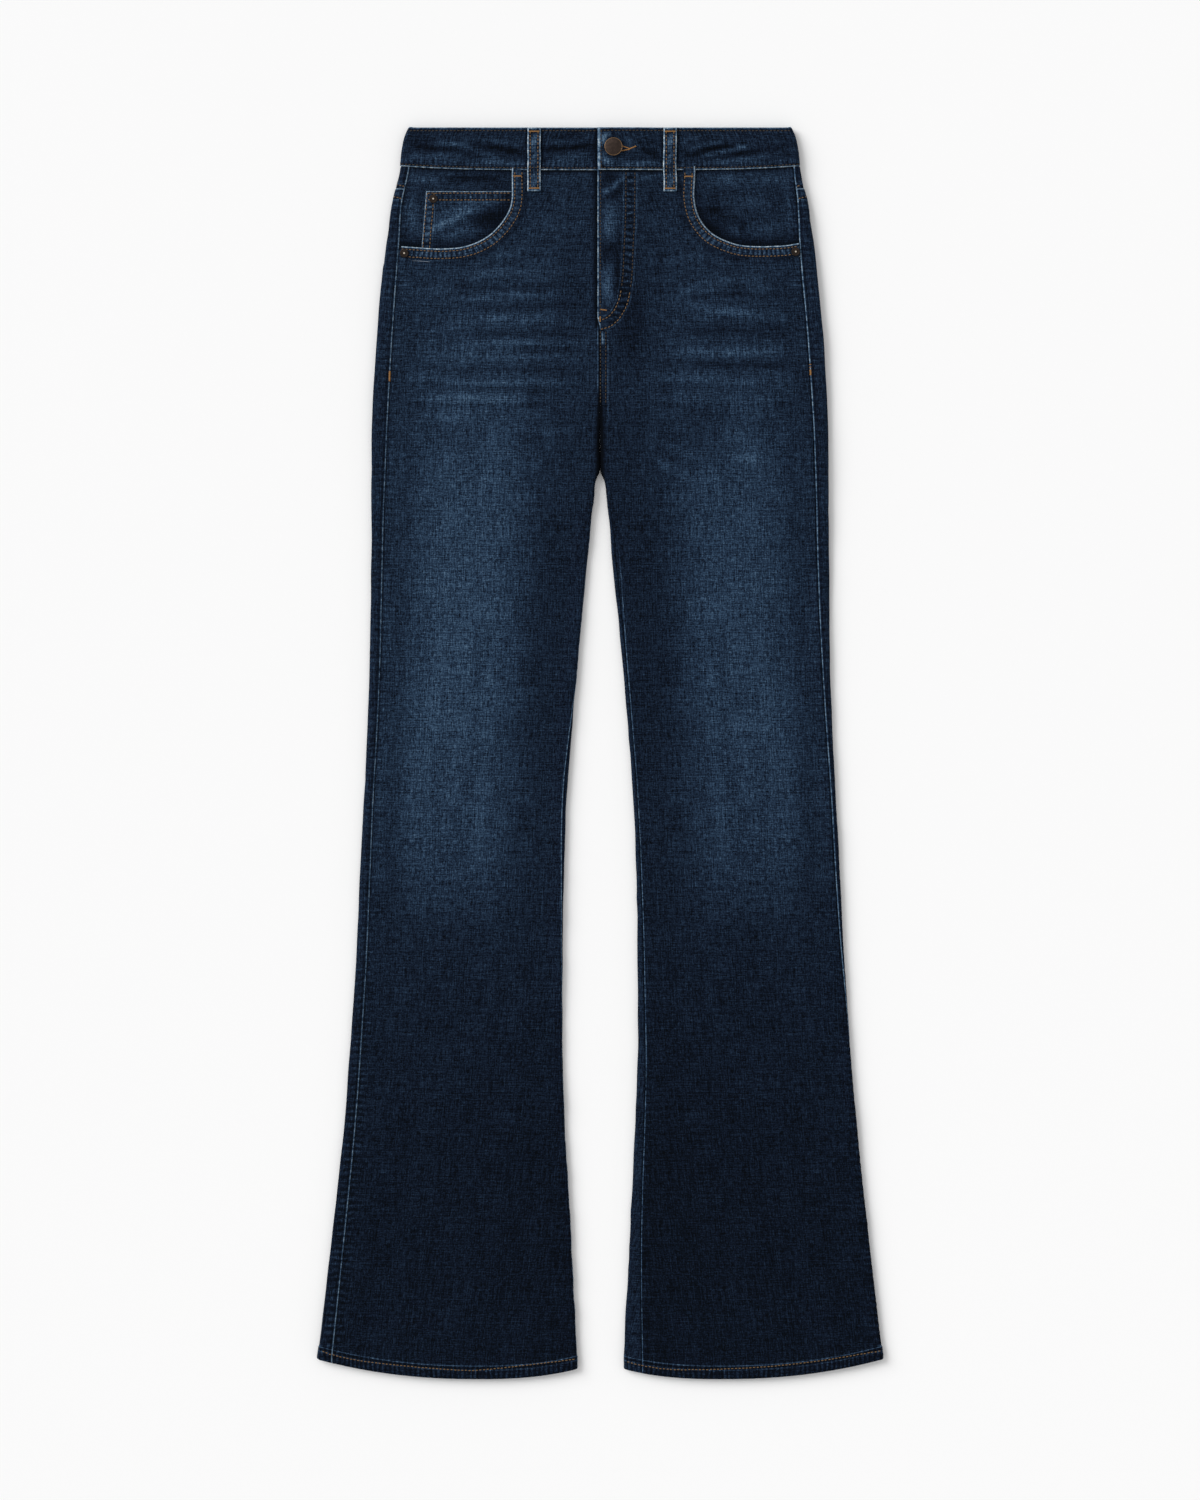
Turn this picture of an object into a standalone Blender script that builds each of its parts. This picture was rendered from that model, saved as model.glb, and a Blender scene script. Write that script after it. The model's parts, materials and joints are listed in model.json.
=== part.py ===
"""Slim fit jeans lying flat on their back with the waist at +Y: each cut piece as a closed solid, in metres.

Places are given the way a tailor measures them. The drop is the distance below the top of the waistband and
the across is the distance from the centre line. A walk is a distance along the cloth from a leg's outer
fold, over the front where it is positive and underneath where it is negative. Left and right are the
wearer's, so the right leg is at -X.
"""

import math
from collections import namedtuple

import bmesh
import bpy
import numpy as np
from mathutils import Matrix

# Sizes of the whole garment
LENGTH = 1.1813
TOP = LENGTH / 2
HEIGHT = 0.0062  # from the underside of a leg to its top: two walls and the air that the folds hold
DENIM = 0.0012
LINING_WEIGHT = 0.0010  # the wall of the pocket facings and of the coin pocket
GAP = 0.0003
HALF_GAP = GAP / 2
TINY = 1e-9
STEP = DENIM + GAP  # how far a panel that lies on another one stands above it
SETTLE_STEPS = 2  # rounds in which a point's drop and its across settle on each other

# Heights along the garment
SEAT_LIFT = 0.0015  # the seat lies on the back pockets, so it is this far off the surface
SEAT_END, LEG_START = 0.2948, 0.4082
SLIT_START, CROTCH = 0.2476, 0.3232
YOKE_AT_FOLD, YOKE_AT_CENTRE = 0.0614, 0.1060
ROW_FADE = 0.0900  # how far down the waist's line, and how far up the hem's, still bends the rows
FULL_ROLL = 1.5  # an inner fold that turns further than this, in radians, reaches its seam

# Waistband
BAND_DEPTH, BAND_RISE = 0.0409, 0.0039
BAND_FOLD = 0.1890
BAND_WALL = 0.0020
BAND_PROUD = 0.0008
BAND_FRONT_DROP = 0.0009  # the front edge lies this far below the back one
BAND_DROP_WALK = 0.0100  # the walk past the fold by which it is that far down
BAND_LAP_LIFT, BAND_LAP_DIP = 0.0017, 0.0006
LAP_FADE_START, LAP_FADE_END = 0.0340, 0.0600
DIP_FADE_START, DIP_FADE_END = 0.0060, 0.0400
UNDERLAP_END = 0.0300
BAND_ROWS = 4
BAND_FRONT_SHARES = (1, 0.93, 0.86, 0.79, 0.7, 0.5, 0.25, 0.08)
BAND_FOLD_SHARES = (0.03, 0.02, 0.01, 0, -0.01, -0.02, -0.03)
BAND_BACK_SHARES = (-0.08, -0.3, -0.6, -0.85)
BAND_FOLD_PAST = 0.0005  # how far the stations of the fold reach past its turn

# Fly
FLY_EDGE, FLY_TUCK = 0.0024, 0.0030
FLY_END, FLY_FADE_END = 0.1833, 0.2090
FLY_WIDTH, FLY_FADE_WIDTH = 0.0330, 0.0560
SHIELD_IN, SHIELD_OUT = 0.0080, 0.0340
SHIELD_FOOT_OUT, SHIELD_CORNER = 0.0136, 0.0300
SHIELD_TOP_HEIGHT = 0.0046

# Pocket mouths: the facing sinks, and the front above it comes down, from FACING_SINK to FACING_SUNK
FACING_SINK, FACING_SUNK = -0.0150, 0.0200
FACING_ROWS, FACING_COLUMNS = 11, 10
COIN_TOP, COIN_SIDE_TOP, COIN_SIDE_FOOT = 0.0611, 0.1638, 0.1687
COIN_TUCK, COIN_TUCK_ASIDE = 0.0050, 0.0035
COIN_SIDE_CLEAR = 0.0040  # its hidden edge stops this far short of its side
COIN_ROOM = LINING_WEIGHT + GAP
COIN_FADE_START, COIN_FADE_END = 0.0080, 0.0260
COIN_LIFT_START, COIN_LIFT_END = 0.0090, 0.0020  # above its top edge, where the front begins to rise for it
CUT_BEYOND = 0.0200  # how far the cutter of a pocket mouth reaches past the widest part of the leg
CUT_BOTTOM, CUT_TOP = -0.0100, 0.0300

# Hems
HEM_DEPTH = 0.0118
HEM_FADE_END = 0.01416  # above the lowest point, where the rows follow the hem's line in full
HEM_WALL = 0.0022
HEM_PROUD = 0.0006
HEM_SAG_PEAK = 0.38  # the lowest point, as a share of the way from the inner to the outer fold
HEM_SAG_INNER, HEM_SAG_OUTER = 0.0095, 0.0189
HEM_INNER_POWER, HEM_OUTER_POWER = 2.5, 2.2

# Trim
LOOP_WIDTH, LOOP_WALL, LOOP_LENGTH = 0.0125, 0.0014, 0.0611
LOOP_FEEL, LOOP_TOP_FEEL = 0.0015, 0.0010  # how near the cloth under a loop is measured, and from what drop
BACK_LOOP_WALL = 0.0012
BUTTON_ACROSS, BUTTON_DROP = 0.0127, 0.0194
RIVET_RADIUS = 0.0041
RIVET_FEELS = 13
ROUND_STEPS = 24

# Profiles of the turned trim, from the middle of the underside round to the middle of the top
Turn = namedtuple("Turn", "radius height")
BUTTON_PROFILE = (
    Turn(0.0, 0.0),
    Turn(0.0032, 0.0),
    Turn(0.0032, 0.0012),
    Turn(0.00799, 0.0012),
    Turn(0.0085, 0.00192),
    Turn(0.008075, 0.0026),
    Turn(0.00731, 0.0028),
    Turn(0.004675, 0.003385),
    Turn(0.0, 0.0037),
)
RIVET_PROFILE = (
    Turn(0.0, 0.0),
    Turn(RIVET_RADIUS, 0.0),
    Turn(RIVET_RADIUS, 0.000585),
    Turn(0.00287, 0.00117),
    Turn(0.0, 0.0013),
)

# The outline: how far the folds of a leg are from the centre line. It is the same on both sides.
Fold = namedtuple("Fold", "drop outer inner")
OUTLINE = (
    Fold(0.0000, 0.1805, 0.0000),
    Fold(0.0076, 0.1840, 0.0000),
    Fold(0.0208, 0.1871, 0.0000),
    Fold(0.0406, 0.1892, 0.0000),
    Fold(0.0680, 0.1956, 0.0000),
    Fold(0.1058, 0.2013, 0.0000),
    Fold(0.1625, 0.2079, 0.0000),
    Fold(0.2192, 0.2126, 0.0000),
    Fold(0.2759, 0.2153, 0.0000),
    Fold(0.3232, 0.2159, 0.0000),
    Fold(0.3326, 0.2160, 0.0038),
    Fold(0.3515, 0.2162, 0.0062),
    Fold(0.4082, 0.2164, 0.0113),
    Fold(0.4838, 0.2171, 0.0189),
    Fold(0.5594, 0.2192, 0.0255),
    Fold(0.6350, 0.2230, 0.0312),
    Fold(0.7106, 0.2268, 0.0340),
    Fold(0.7862, 0.2306, 0.0352),
    Fold(0.8618, 0.2358, 0.0352),
    Fold(0.9374, 0.2419, 0.0331),
    Fold(1.0130, 0.2498, 0.0293),
    Fold(1.0886, 0.2585, 0.0255),
    Fold(1.1605, 0.2672, 0.0217),
)

# Where the long seams lie on the front, as distances in from the outer and the inner fold
Seams = namedtuple("Seams", "drop outseam inseam")
RIGHT_SEAMS = (
    Seams(0.0406, 0.0093, 0.0000),
    Seams(0.0728, 0.0099, 0.0000),
    Seams(0.1106, 0.0127, 0.0000),
    Seams(0.1625, 0.0148, 0.0000),
    Seams(0.2381, 0.0158, 0.0000),
    Seams(0.3988, 0.0118, 0.0000),
    Seams(0.5216, 0.0104, 0.0000),
    Seams(0.6256, 0.0096, 0.0030),
    Seams(0.7295, 0.0104, 0.0009),
    Seams(0.8524, 0.0113, 0.0000),
    Seams(1.0745, 0.0134, 0.0000),
    Seams(1.1595, 0.0148, 0.0000),
)
LEFT_SEAMS = (
    Seams(0.0406, 0.0066, 0.0000),
    Seams(0.0728, 0.0104, 0.0000),
    Seams(0.1134, 0.0142, 0.0000),
    Seams(0.1625, 0.0156, 0.0000),
    Seams(0.2353, 0.0155, 0.0000),
    Seams(0.3232, 0.0132, 0.0000),
    Seams(0.3893, 0.0119, 0.0043),
    Seams(0.6161, 0.0053, 0.0043),
    Seams(0.7295, 0.0043, 0.0054),
    Seams(0.8618, 0.0002, 0.0078),
    Seams(1.0886, 0.0000, 0.0132),
    Seams(1.1595, 0.0000, 0.0180),
)

# The finished edges of the pocket mouths, from the waistband to the outseam
Mark = namedtuple("Mark", "across drop")
RIGHT_MOUTH = (
    Mark(0.0828, 0.0302),
    Mark(0.0828, 0.0473),
    Mark(0.0835, 0.0728),
    Mark(0.0921, 0.0901),
    Mark(0.1068, 0.1045),
    Mark(0.1269, 0.1132),
    Mark(0.1503, 0.1155),
    Mark(0.1720, 0.1143),
    Mark(0.1871, 0.1132),
)
LEFT_MOUTH = (
    Mark(0.0894, 0.0302),
    Mark(0.0892, 0.0478),
    Mark(0.0885, 0.0674),
    Mark(0.0930, 0.0854),
    Mark(0.1051, 0.1005),
    Mark(0.1231, 0.1095),
    Mark(0.1412, 0.1128),
    Mark(0.1713, 0.1125),
    Mark(0.1871, 0.1103),
)
MOUTH_STEPS = 4
MOUTH_REACH = 0.0600  # how far the mouth's line is carried on past its ends

# Right rivets in the order coin pocket, mouth; then the left one
RIVETS = (
    ("rivet_coin_pocket", -1, Mark(0.1572, 0.0683)),
    ("rivet_pocket_right", -1, Mark(0.1845, 0.1197)),
    ("rivet_pocket_left", 1, Mark(0.1845, 0.1181)),
)
FRONT_LOOPS = (("belt_loop_front_right", -1, 0.0621), ("belt_loop_front_left", 1, 0.0661))
BACK_LOOPS = (
    ("belt_loop_back_right", -0.1150),
    ("belt_loop_back_centre", 0.0),
    ("belt_loop_back_left", 0.1150),
)

# A belt loop's room for a belt, between the tacks at its two ends
Slack = namedtuple("Slack", "drop room")
LOOP_SLACK = (
    Slack(0.0012, 0.0000),
    Slack(0.0048, 0.0000),
    Slack(0.0110, 0.0011),
    Slack(0.0205, 0.0015),
    Slack(0.0300, 0.0012),
    Slack(0.0372, 0.0004),
    Slack(0.0416, 0.0000),
    Slack(0.0470, 0.0004),
    Slack(0.0530, 0.0001),
    Slack(0.0570, 0.0000),
    Slack(0.0611, 0.0000),
)

# A back pocket, from the middle of its top edge round its outer half
BACK_POCKET_ACROSS = 0.1060
BACK_POCKET = (
    Mark(0.0000, 0.1290),
    Mark(0.0740, 0.1270),
    Mark(0.0640, 0.2530),
    Mark(0.0000, 0.2760),
)

# Rows of the panels at the outseam, from the top edge down. Panels that meet there share them, so that their
# edges follow each other. The hem's rows follow below.
ROWS = (
    0.0522, 0.0614, 0.0749, 0.0862, 0.0970, 0.1076, 0.1190, 0.1320, 0.1480, 0.1640, 0.1795, 0.1909, 0.2110,
    0.2476, 0.2700, 0.2860, 0.3000, 0.3110, 0.3180, 0.3232, 0.3268, 0.3326, 0.3430, 0.3600, 0.3900, 0.4500,
    0.5300, 0.6100, 0.7000, 0.7900, 0.8800, 0.9700, 1.0500, 1.1200,
)  # fmt: skip
YOKE_REACH = 0.2110  # from this row down, the rows of the back are level

# Columns of the panels, close together where the cloth turns over a fold
FRONT_COLUMNS = (
    0, 0.009, 0.018, 0.028, 0.06, 0.13, 0.21, 0.29, 0.38, 0.48, 0.6, 0.73, 0.86, 0.94, 0.972, 0.982, 0.991, 1,
)  # fmt: skip
BACK_LEVEL = 0.985
OUTER_TURNS, LEVEL_COLUMNS, INNER_TURNS = 9, 5, 10
OUTER_CROWD, INNER_CROWD = 1.4, 1.5

Paint = namedtuple("Paint", "name colour metallic roughness")
DENIM_BLUE = Paint("denim", (0.016, 0.034, 0.066, 1), 0.0, 0.85)
FACING_BLUE = Paint("denim facing", (0.014, 0.030, 0.058, 1), 0.0, 0.85)
BUTTON_BRONZE = Paint("dark bronze", (0.070, 0.042, 0.030, 1), 0.9, 0.45)
RIVET_COPPER = Paint("dark copper", (0.140, 0.070, 0.040, 1), 0.9, 0.4)


def ease(start, end, value):
    """0 up to start, 1 from end on, and a smooth step between."""
    share = min(max((value - start) / (end - start), 0.0), 1.0)
    return share * share * (3 - 2 * share)


class Track:
    """A column of a table as a smooth function of the drop, level before the first row and after the last."""

    def __init__(self, rows, column):
        self.at = np.array([row.drop for row in rows])
        self.value = np.array([getattr(row, column) for row in rows])
        self.slope = np.gradient(self.value, self.at)
        steps = np.diff(self.value)
        self.slope[1:-1][steps[:-1] * steps[1:] <= 0] = 0  # level at a peak and beside a level stretch

    def __call__(self, drop):
        row = min(max(int(np.searchsorted(self.at, drop)) - 1, 0), len(self.at) - 2)
        span = self.at[row + 1] - self.at[row]
        share = min(max((drop - self.at[row]) / span, 0.0), 1.0)
        bend = share * (1 - share) * span
        level = share * share * (3 - 2 * share)
        rise = bend * ((1 - share) * self.slope[row] - share * self.slope[row + 1])
        return self.value[row] + (self.value[row + 1] - self.value[row]) * level + rise


def smooth_line(marks):
    """Points along a smooth curve through the marks, as an array of (across, drop)."""
    points = np.array(marks)
    slope = np.gradient(points, axis=0)
    line = []
    for start, end, leave, arrive in zip(points, points[1:], slope, slope[1:]):
        for step in range(MOUTH_STEPS):
            share = step / MOUTH_STEPS
            level = share * share * (3 - 2 * share)
            bend = share * (1 - share) * ((1 - share) * leave - share * arrive)
            line.append(start + (end - start) * level + bend)
    line.append(points[-1])
    return np.array(line)


def along(inset, radius):
    """The distance along the cloth from the edge of a fold to a seam that is seen this far inside it."""
    if inset >= radius:
        return inset - radius + math.pi * radius / 2
    return radius * math.acos((radius - max(inset, 0.0)) / radius)


def seat_base(drop):
    """The height of the underside: the seat lies on the back pockets, and the legs on the surface."""
    return SEAT_LIFT * (1 - ease(SEAT_END, LEG_START, drop))


class Cut:
    """A cross-section of one leg, or of one half of the garment above the crotch."""

    def __init__(self, leg, drop, height):
        self.outer = leg.outer(drop)
        self.inner = max(leg.inner(drop), HALF_GAP)
        self.radius = height / 2
        self.middle = seat_base(drop) + self.radius
        self.roll = {
            1: math.pi / 2 * ease(SLIT_START, CROTCH, drop),
            -1: math.pi / 2 * ease(SEAT_END, CROTCH, drop),
        }
        self.edge = {1: leg.front_edge(drop), -1: self.inner}
        self.turn = math.pi * self.radius / 2
        self.outseam = along(leg.outseam(drop), self.radius)
        self.inseam = along(leg.inseam(drop), self.radius)

    def flat(self, side):
        """The length of the level cloth between the folds, on top (1) or underneath (-1)."""
        centre = self.edge[side] + self.radius * math.sin(self.roll[side])
        return self.outer - self.radius - centre

    def half(self, side):
        """The walk from the outer fold to the centre, or to the inner fold."""
        return self.turn + self.flat(side) + self.radius * self.roll[side]

    def centre_gap(self, side):
        """Half a seam's gap, where the front and the back meet at the inner fold, and nothing above."""
        return HALF_GAP * math.sin(self.roll[side])

    def point(self, walk, depth=0.0):
        """(across, height) at this walk, at a depth inside the cloth."""
        if walk < -self.half(-1) - TINY:
            walk += self.half(-1) + self.half(1)
        side = 1 if walk >= 0 else -1
        walk = abs(walk)
        reach = self.radius - depth
        flat = self.flat(side)
        if walk <= self.turn:
            angle = walk / self.radius
            across = self.outer - self.radius + reach * math.cos(angle)
            return across, self.middle + side * reach * math.sin(angle)
        if walk <= self.turn + flat:
            return self.outer - self.radius - (walk - self.turn), self.middle + side * reach
        angle = (walk - self.turn - flat) / self.radius
        centre = self.outer - self.radius - flat
        return centre - reach * math.sin(angle), self.middle + side * reach * math.cos(angle)


class Leg:
    """One side of the garment: its sign along X, its tables, and the lines that its pieces follow."""

    def __init__(self, sign, seams, mouth, edge_in_fly, fly_close):
        self.sign = sign
        self.outer = Track(OUTLINE, "outer")
        self.inner = Track(OUTLINE, "inner")
        self.outseam = Track(seams, "outseam")
        self.inseam = Track(seams, "inseam")
        self.mouth = smooth_line(mouth)
        self.edge_in_fly = edge_in_fly
        self.fly_close = fly_close

    def front_edge(self, drop):
        """How far from the centre line the front panel ends: it laps across it in the fly."""
        inner = max(self.inner(drop), HALF_GAP)
        open_share = ease(*self.fly_close, drop)
        return self.edge_in_fly + (inner - self.edge_in_fly) * open_share

    def mouth_distance(self, across, drop):
        """The distance from the pocket mouth, positive on the front panel's side of it."""
        line = np.vstack(
            (
                self.mouth[0] - (0, MOUTH_REACH),
                self.mouth,
                self.mouth[-1] + (MOUTH_REACH, 0),
            )
        )
        run = np.diff(line, axis=0)
        offset = (across, drop) - line[:-1]
        share = np.clip((offset * run).sum(1) / (run * run).sum(1), 0, 1)
        nearest = np.hypot(*(offset - run * share[:, None]).T)
        index = int(nearest.argmin())
        turn = run[index, 0] * offset[index, 1] - run[index, 1] * offset[index, 0]
        return math.copysign(nearest[index], turn)

    def facing_sink(self, across, drop):
        """How far the facing lies below the outside of the leg: a full step once the front covers it."""
        return STEP * ease(FACING_SINK, FACING_SUNK, self.mouth_distance(across, drop))

    def front_lift(self, across, drop):
        """How far the front panel is raised, by the facing at the mouth and by the other side in the fly."""
        mouth = self.mouth_distance(across, drop)
        lift = STEP - self.facing_sink(across, drop)
        if self.sign < 0:
            near = 1 - ease(COIN_FADE_START, COIN_FADE_END, mouth)
            lift += COIN_ROOM * near * ease(COIN_TOP - COIN_LIFT_START, COIN_TOP - COIN_LIFT_END, drop)
        else:
            over = 1 - ease(FLY_WIDTH, FLY_FADE_WIDTH, across)
            lift += STEP * over * (1 - ease(FLY_END, FLY_FADE_END, drop))
        return lift


RIGHT = Leg(-1, RIGHT_SEAMS, RIGHT_MOUTH, -FLY_TUCK, (0.1740, FLY_END))
LEFT = Leg(1, LEFT_SEAMS, LEFT_MOUTH, -FLY_EDGE, (0.1795, 0.1905))


def band_line(across):
    """The drop of the waistband's lower edge, which rises toward the folds."""
    return BAND_DEPTH - BAND_RISE * (abs(across) / BAND_FOLD) ** 4


def hem_sag(leg, across):
    """How far the hem's edge is above its lowest point."""
    inner, outer = leg.inner(LENGTH), leg.outer(LENGTH)
    share = min(max((across - inner) / (outer - inner), 0.0), 1.0)
    if share < HEM_SAG_PEAK:
        return HEM_SAG_INNER * ((HEM_SAG_PEAK - share) / HEM_SAG_PEAK) ** HEM_INNER_POWER
    return HEM_SAG_OUTER * ((share - HEM_SAG_PEAK) / (1 - HEM_SAG_PEAK)) ** HEM_OUTER_POWER


def warp(leg, row, across):
    """What a row's drop gains at this across, so that the rows follow the waist's line and the hem's."""
    waist = (band_line(across) - BAND_DEPTH) * (1 - ease(BAND_DEPTH, BAND_DEPTH + ROW_FADE, row))
    hem = hem_sag(leg, across) * ease(LENGTH - ROW_FADE, LENGTH - HEM_FADE_END, row)
    return waist - hem


def in_hem(row):
    return row > LENGTH - HEM_DEPTH - HALF_GAP


def place(leg, row, column, depth, reach):
    """(across, drop, height) of a point on a panel. A column counts the stretches that reach gives."""
    drop = row
    for _ in range(SETTLE_STEPS):
        cut = Cut(leg, drop, HEIGHT + (HEM_PROUD if in_hem(row) else 0.0))
        across, height = cut.point(np.interp(column, *reach(cut)), depth)
        drop = row + warp(leg, row, across)
    return across, drop, height


def front_reach(cut):
    """One stretch, from the outseam to the centre or the inseam."""
    return (0, 1), (cut.outseam + HALF_GAP, cut.half(1) - cut.inseam - cut.centre_gap(1))


def back_reach(cut):
    """Three stretches: the outer fold from its seam, the level cloth, and the inner fold up to its seam."""
    end = cut.half(-1) + (cut.inseam if cut.roll[-1] > FULL_ROLL else 0.0)
    level = cut.turn + BACK_LEVEL * cut.flat(-1)
    return (0, 1, 2, 3), (cut.outseam - HALF_GAP, -cut.turn, -level, cut.centre_gap(-1) - end)


def spot(leg, across, drop, height):
    """A point of a leg in the garment's frame."""
    return leg.sign * across, TOP - drop, height


def wall_depth(row):
    return HEM_WALL if in_hem(row) else DENIM


def hem_rows():
    fold = LENGTH - HEM_DEPTH
    return fold - GAP, fold, LENGTH - HEM_DEPTH / 2, LENGTH


def make_material(paint):
    material = bpy.data.materials.get(paint.name) or bpy.data.materials.new(paint.name)
    material.use_nodes = True
    shader = material.node_tree.nodes["Principled BSDF"]
    shader.inputs["Base Color"].default_value = paint.colour
    shader.inputs["Metallic"].default_value = paint.metallic
    shader.inputs["Roughness"].default_value = paint.roughness
    material.diffuse_color = paint.colour
    return material


def add_object(name, mesh, paint, collection):
    """An object from a bmesh, with its faces turned outwards."""
    bmesh.ops.recalc_face_normals(mesh, faces=mesh.faces)
    data = bpy.data.meshes.new(name)
    mesh.to_mesh(data)
    mesh.free()
    if paint:
        data.materials.append(make_material(paint))
    made = bpy.data.objects.new(name, data)
    collection.objects.link(made)
    return made


def wall(name, outer, inner, paint, collection):
    """A closed solid between two grids of points: a loft through the closed sections of its wall."""
    mesh = bmesh.new()
    rings = []
    for over, under in zip(outer, inner):
        rings.append([mesh.verts.new(point) for point in (*over, *under[::-1])])
    count = len(rings[0])
    for near, far in zip(rings, rings[1:]):
        for i in range(count):
            j = (i + 1) % count
            mesh.faces.new((near[i], near[j], far[j], far[i]))
    for ring in (rings[0], rings[-1]):
        for i in range(count // 2 - 1):
            mesh.faces.new((ring[i], ring[i + 1], ring[count - 2 - i], ring[count - 1 - i]))
    bmesh.ops.recalc_face_normals(mesh, faces=mesh.faces)
    bmesh.ops.triangulate(mesh, faces=mesh.faces, quad_method="FIXED")
    return add_object(name, mesh, paint, collection)


def prism(name, outline, bottom, top, paint, collection):
    """A flat outline of (x, y) points, raised from bottom to top."""
    mesh = bmesh.new()
    face = mesh.faces.new([mesh.verts.new((x, y, bottom)) for x, y in outline])
    raised = bmesh.ops.extrude_face_region(mesh, geom=[face])["geom"]
    top_points = [item for item in raised if isinstance(item, bmesh.types.BMVert)]
    bmesh.ops.translate(mesh, verts=top_points, vec=(0, 0, top - bottom))
    return add_object(name, mesh, paint, collection)


def add_cut(target, cutter, operation):
    change = target.modifiers.new(operation.capitalize(), "BOOLEAN")
    change.operation = operation
    change.solver = "EXACT"
    change.object = cutter


def turned(name, profile, place_at, paint, collection):
    """A profile of (radius, height) points turned about Z."""
    mesh = bmesh.new()
    points = [mesh.verts.new((radius, 0, height)) for radius, height in profile]
    for start, end in zip(points, points[1:]):
        mesh.edges.new((start, end))
    made = add_object(name, mesh, paint, collection)
    turn = made.modifiers.new("Turn", "SCREW")
    turn.steps = ROUND_STEPS
    turn.render_steps = ROUND_STEPS
    turn.use_merge_vertices = True
    turn.merge_threshold = 1e-5
    turn.use_normal_calculate = True
    made.location = place_at
    return made


def panel(name, leg, rows, columns, reach, collection, lift=None):
    """A panel of one leg, as a wall through its rows. A row is a drop, or the drop at each column."""
    outer, inner = [], []
    for row in rows:
        over, under = [], []
        for column in columns:
            level = row[column] if isinstance(row, dict) else row
            for depth, line in ((0.0, over), (wall_depth(level), under)):
                across, drop, height = place(leg, level, column, depth, reach)
                height += lift(across, drop) if lift else 0.0
                line.append(spot(leg, across, drop, height))
        outer.append(over)
        inner.append(under)
    return wall(name, outer, inner, DENIM_BLUE, collection)


def front_rows():
    return (BAND_DEPTH + GAP, *ROWS, *hem_rows())


def mouth_cutter(leg, name, cutters):
    """What the pocket mouth takes out of the front panel."""
    beyond = leg.outer(CROTCH) + CUT_BEYOND
    outline = [*leg.mouth, (beyond, leg.mouth[-1][1]), (beyond, 0.0), (leg.mouth[0][0], 0.0)]
    outline = [(leg.sign * across, TOP - drop) for across, drop in outline]
    return prism(name, outline, CUT_BOTTOM, CUT_TOP, None, cutters)


def make_front(leg, name, collection, cutters):
    front = panel(name, leg, front_rows(), FRONT_COLUMNS, front_reach, collection, leg.front_lift)
    add_cut(front, mouth_cutter(leg, name + "_mouth_cutter", cutters), "DIFFERENCE")
    return front


def layer_under_front(leg, name, top, bottom, collection):
    """A piece made from the front panel's own points near the pocket, between two heights above them."""
    grids = []
    for offset in (top, bottom):
        grid = []
        for row in front_rows()[:FACING_ROWS]:
            line = []
            for column in FRONT_COLUMNS[:FACING_COLUMNS]:
                across, drop, height = place(leg, row, column, 0.0, front_reach)
                height += offset - leg.facing_sink(across, drop)
                line.append(spot(leg, across, drop, height))
            grid.append(line)
        grids.append(grid)
    return wall(name, *grids, FACING_BLUE, collection)


def make_facing(leg, name, collection):
    return layer_under_front(leg, name, 0.0, -LINING_WEIGHT, collection)


def make_coin_pocket(leg, name, collection, cutters):
    """The coin pocket on the facing, with its free edges tucked a little way under the front panel."""
    piece = layer_under_front(leg, name, GAP + LINING_WEIGHT, GAP, collection)
    inner_top = leg.mouth[0][0] - COIN_TUCK
    foot = max(drop for _, drop in leg.mouth) + COIN_TUCK
    hidden = []
    for across, drop in leg.mouth[MOUTH_STEPS * 2 :] + (-COIN_TUCK_ASIDE, COIN_TUCK_ASIDE):
        if across < COIN_SIDE_FOOT - COIN_SIDE_CLEAR:
            hidden.append((across, min(drop, foot)))
    outline = [(COIN_SIDE_TOP, COIN_TOP), (inner_top, COIN_TOP), *hidden, (COIN_SIDE_FOOT, foot)]
    outline = [(leg.sign * across, TOP - drop) for across, drop in outline]
    cutter = prism(name + "_outline", outline, CUT_BOTTOM, CUT_TOP, None, cutters)
    add_cut(piece, cutter, "INTERSECT")
    return piece


def yoke_row(column):
    """The drop of the yoke's seam, level round the fold and falling toward the centre back."""
    return YOKE_AT_FOLD + (YOKE_AT_CENTRE - YOKE_AT_FOLD) * seat_share(column)


def seat_share(column):
    """How far across the seat a column of the back is, from 0 on the outer fold to 1 at the centre."""
    if column < 2:
        return max((column - 1) * BACK_LEVEL, 0.0)
    return BACK_LEVEL + (column - 2) * (1 - BACK_LEVEL)


def slanted(row):
    """A row of the back that slants with the yoke's seam, as the drop at each column, or as its one drop."""
    if row >= YOKE_REACH:
        return row
    end = YOKE_REACH if row > YOKE_AT_FOLD else BAND_DEPTH
    part = (row - YOKE_AT_FOLD) / (end - YOKE_AT_FOLD)
    drops = {}
    for column in back_columns():
        drops[column] = yoke_row(column) + (end - yoke_row(column)) * part
    return drops


def back_columns():
    """Columns round a back panel: its outer fold, its level cloth and its inner fold."""
    outer = 1 - np.linspace(1, 0, OUTER_TURNS + 1) ** OUTER_CROWD
    level = np.linspace(1, 2, LEVEL_COLUMNS + 1)[1:]
    inner = 2 + np.linspace(0, 1, INNER_TURNS + 1)[1:] ** INNER_CROWD
    return (*outer, *level, *inner)


def make_back(leg, name, collection):
    below = [row for row in ROWS if row > YOKE_AT_FOLD]
    rows = [slanted(row) for row in (YOKE_AT_FOLD + HALF_GAP, *below, *hem_rows())]
    return panel(name, leg, rows, back_columns(), back_reach, collection)


def make_yoke(leg, name, collection):
    above = [row for row in ROWS if row < YOKE_AT_FOLD]
    rows = [slanted(row) for row in (BAND_DEPTH + GAP, *above, YOKE_AT_FOLD - HALF_GAP)]
    return panel(name, leg, rows, back_columns(), back_reach, collection)


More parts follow.
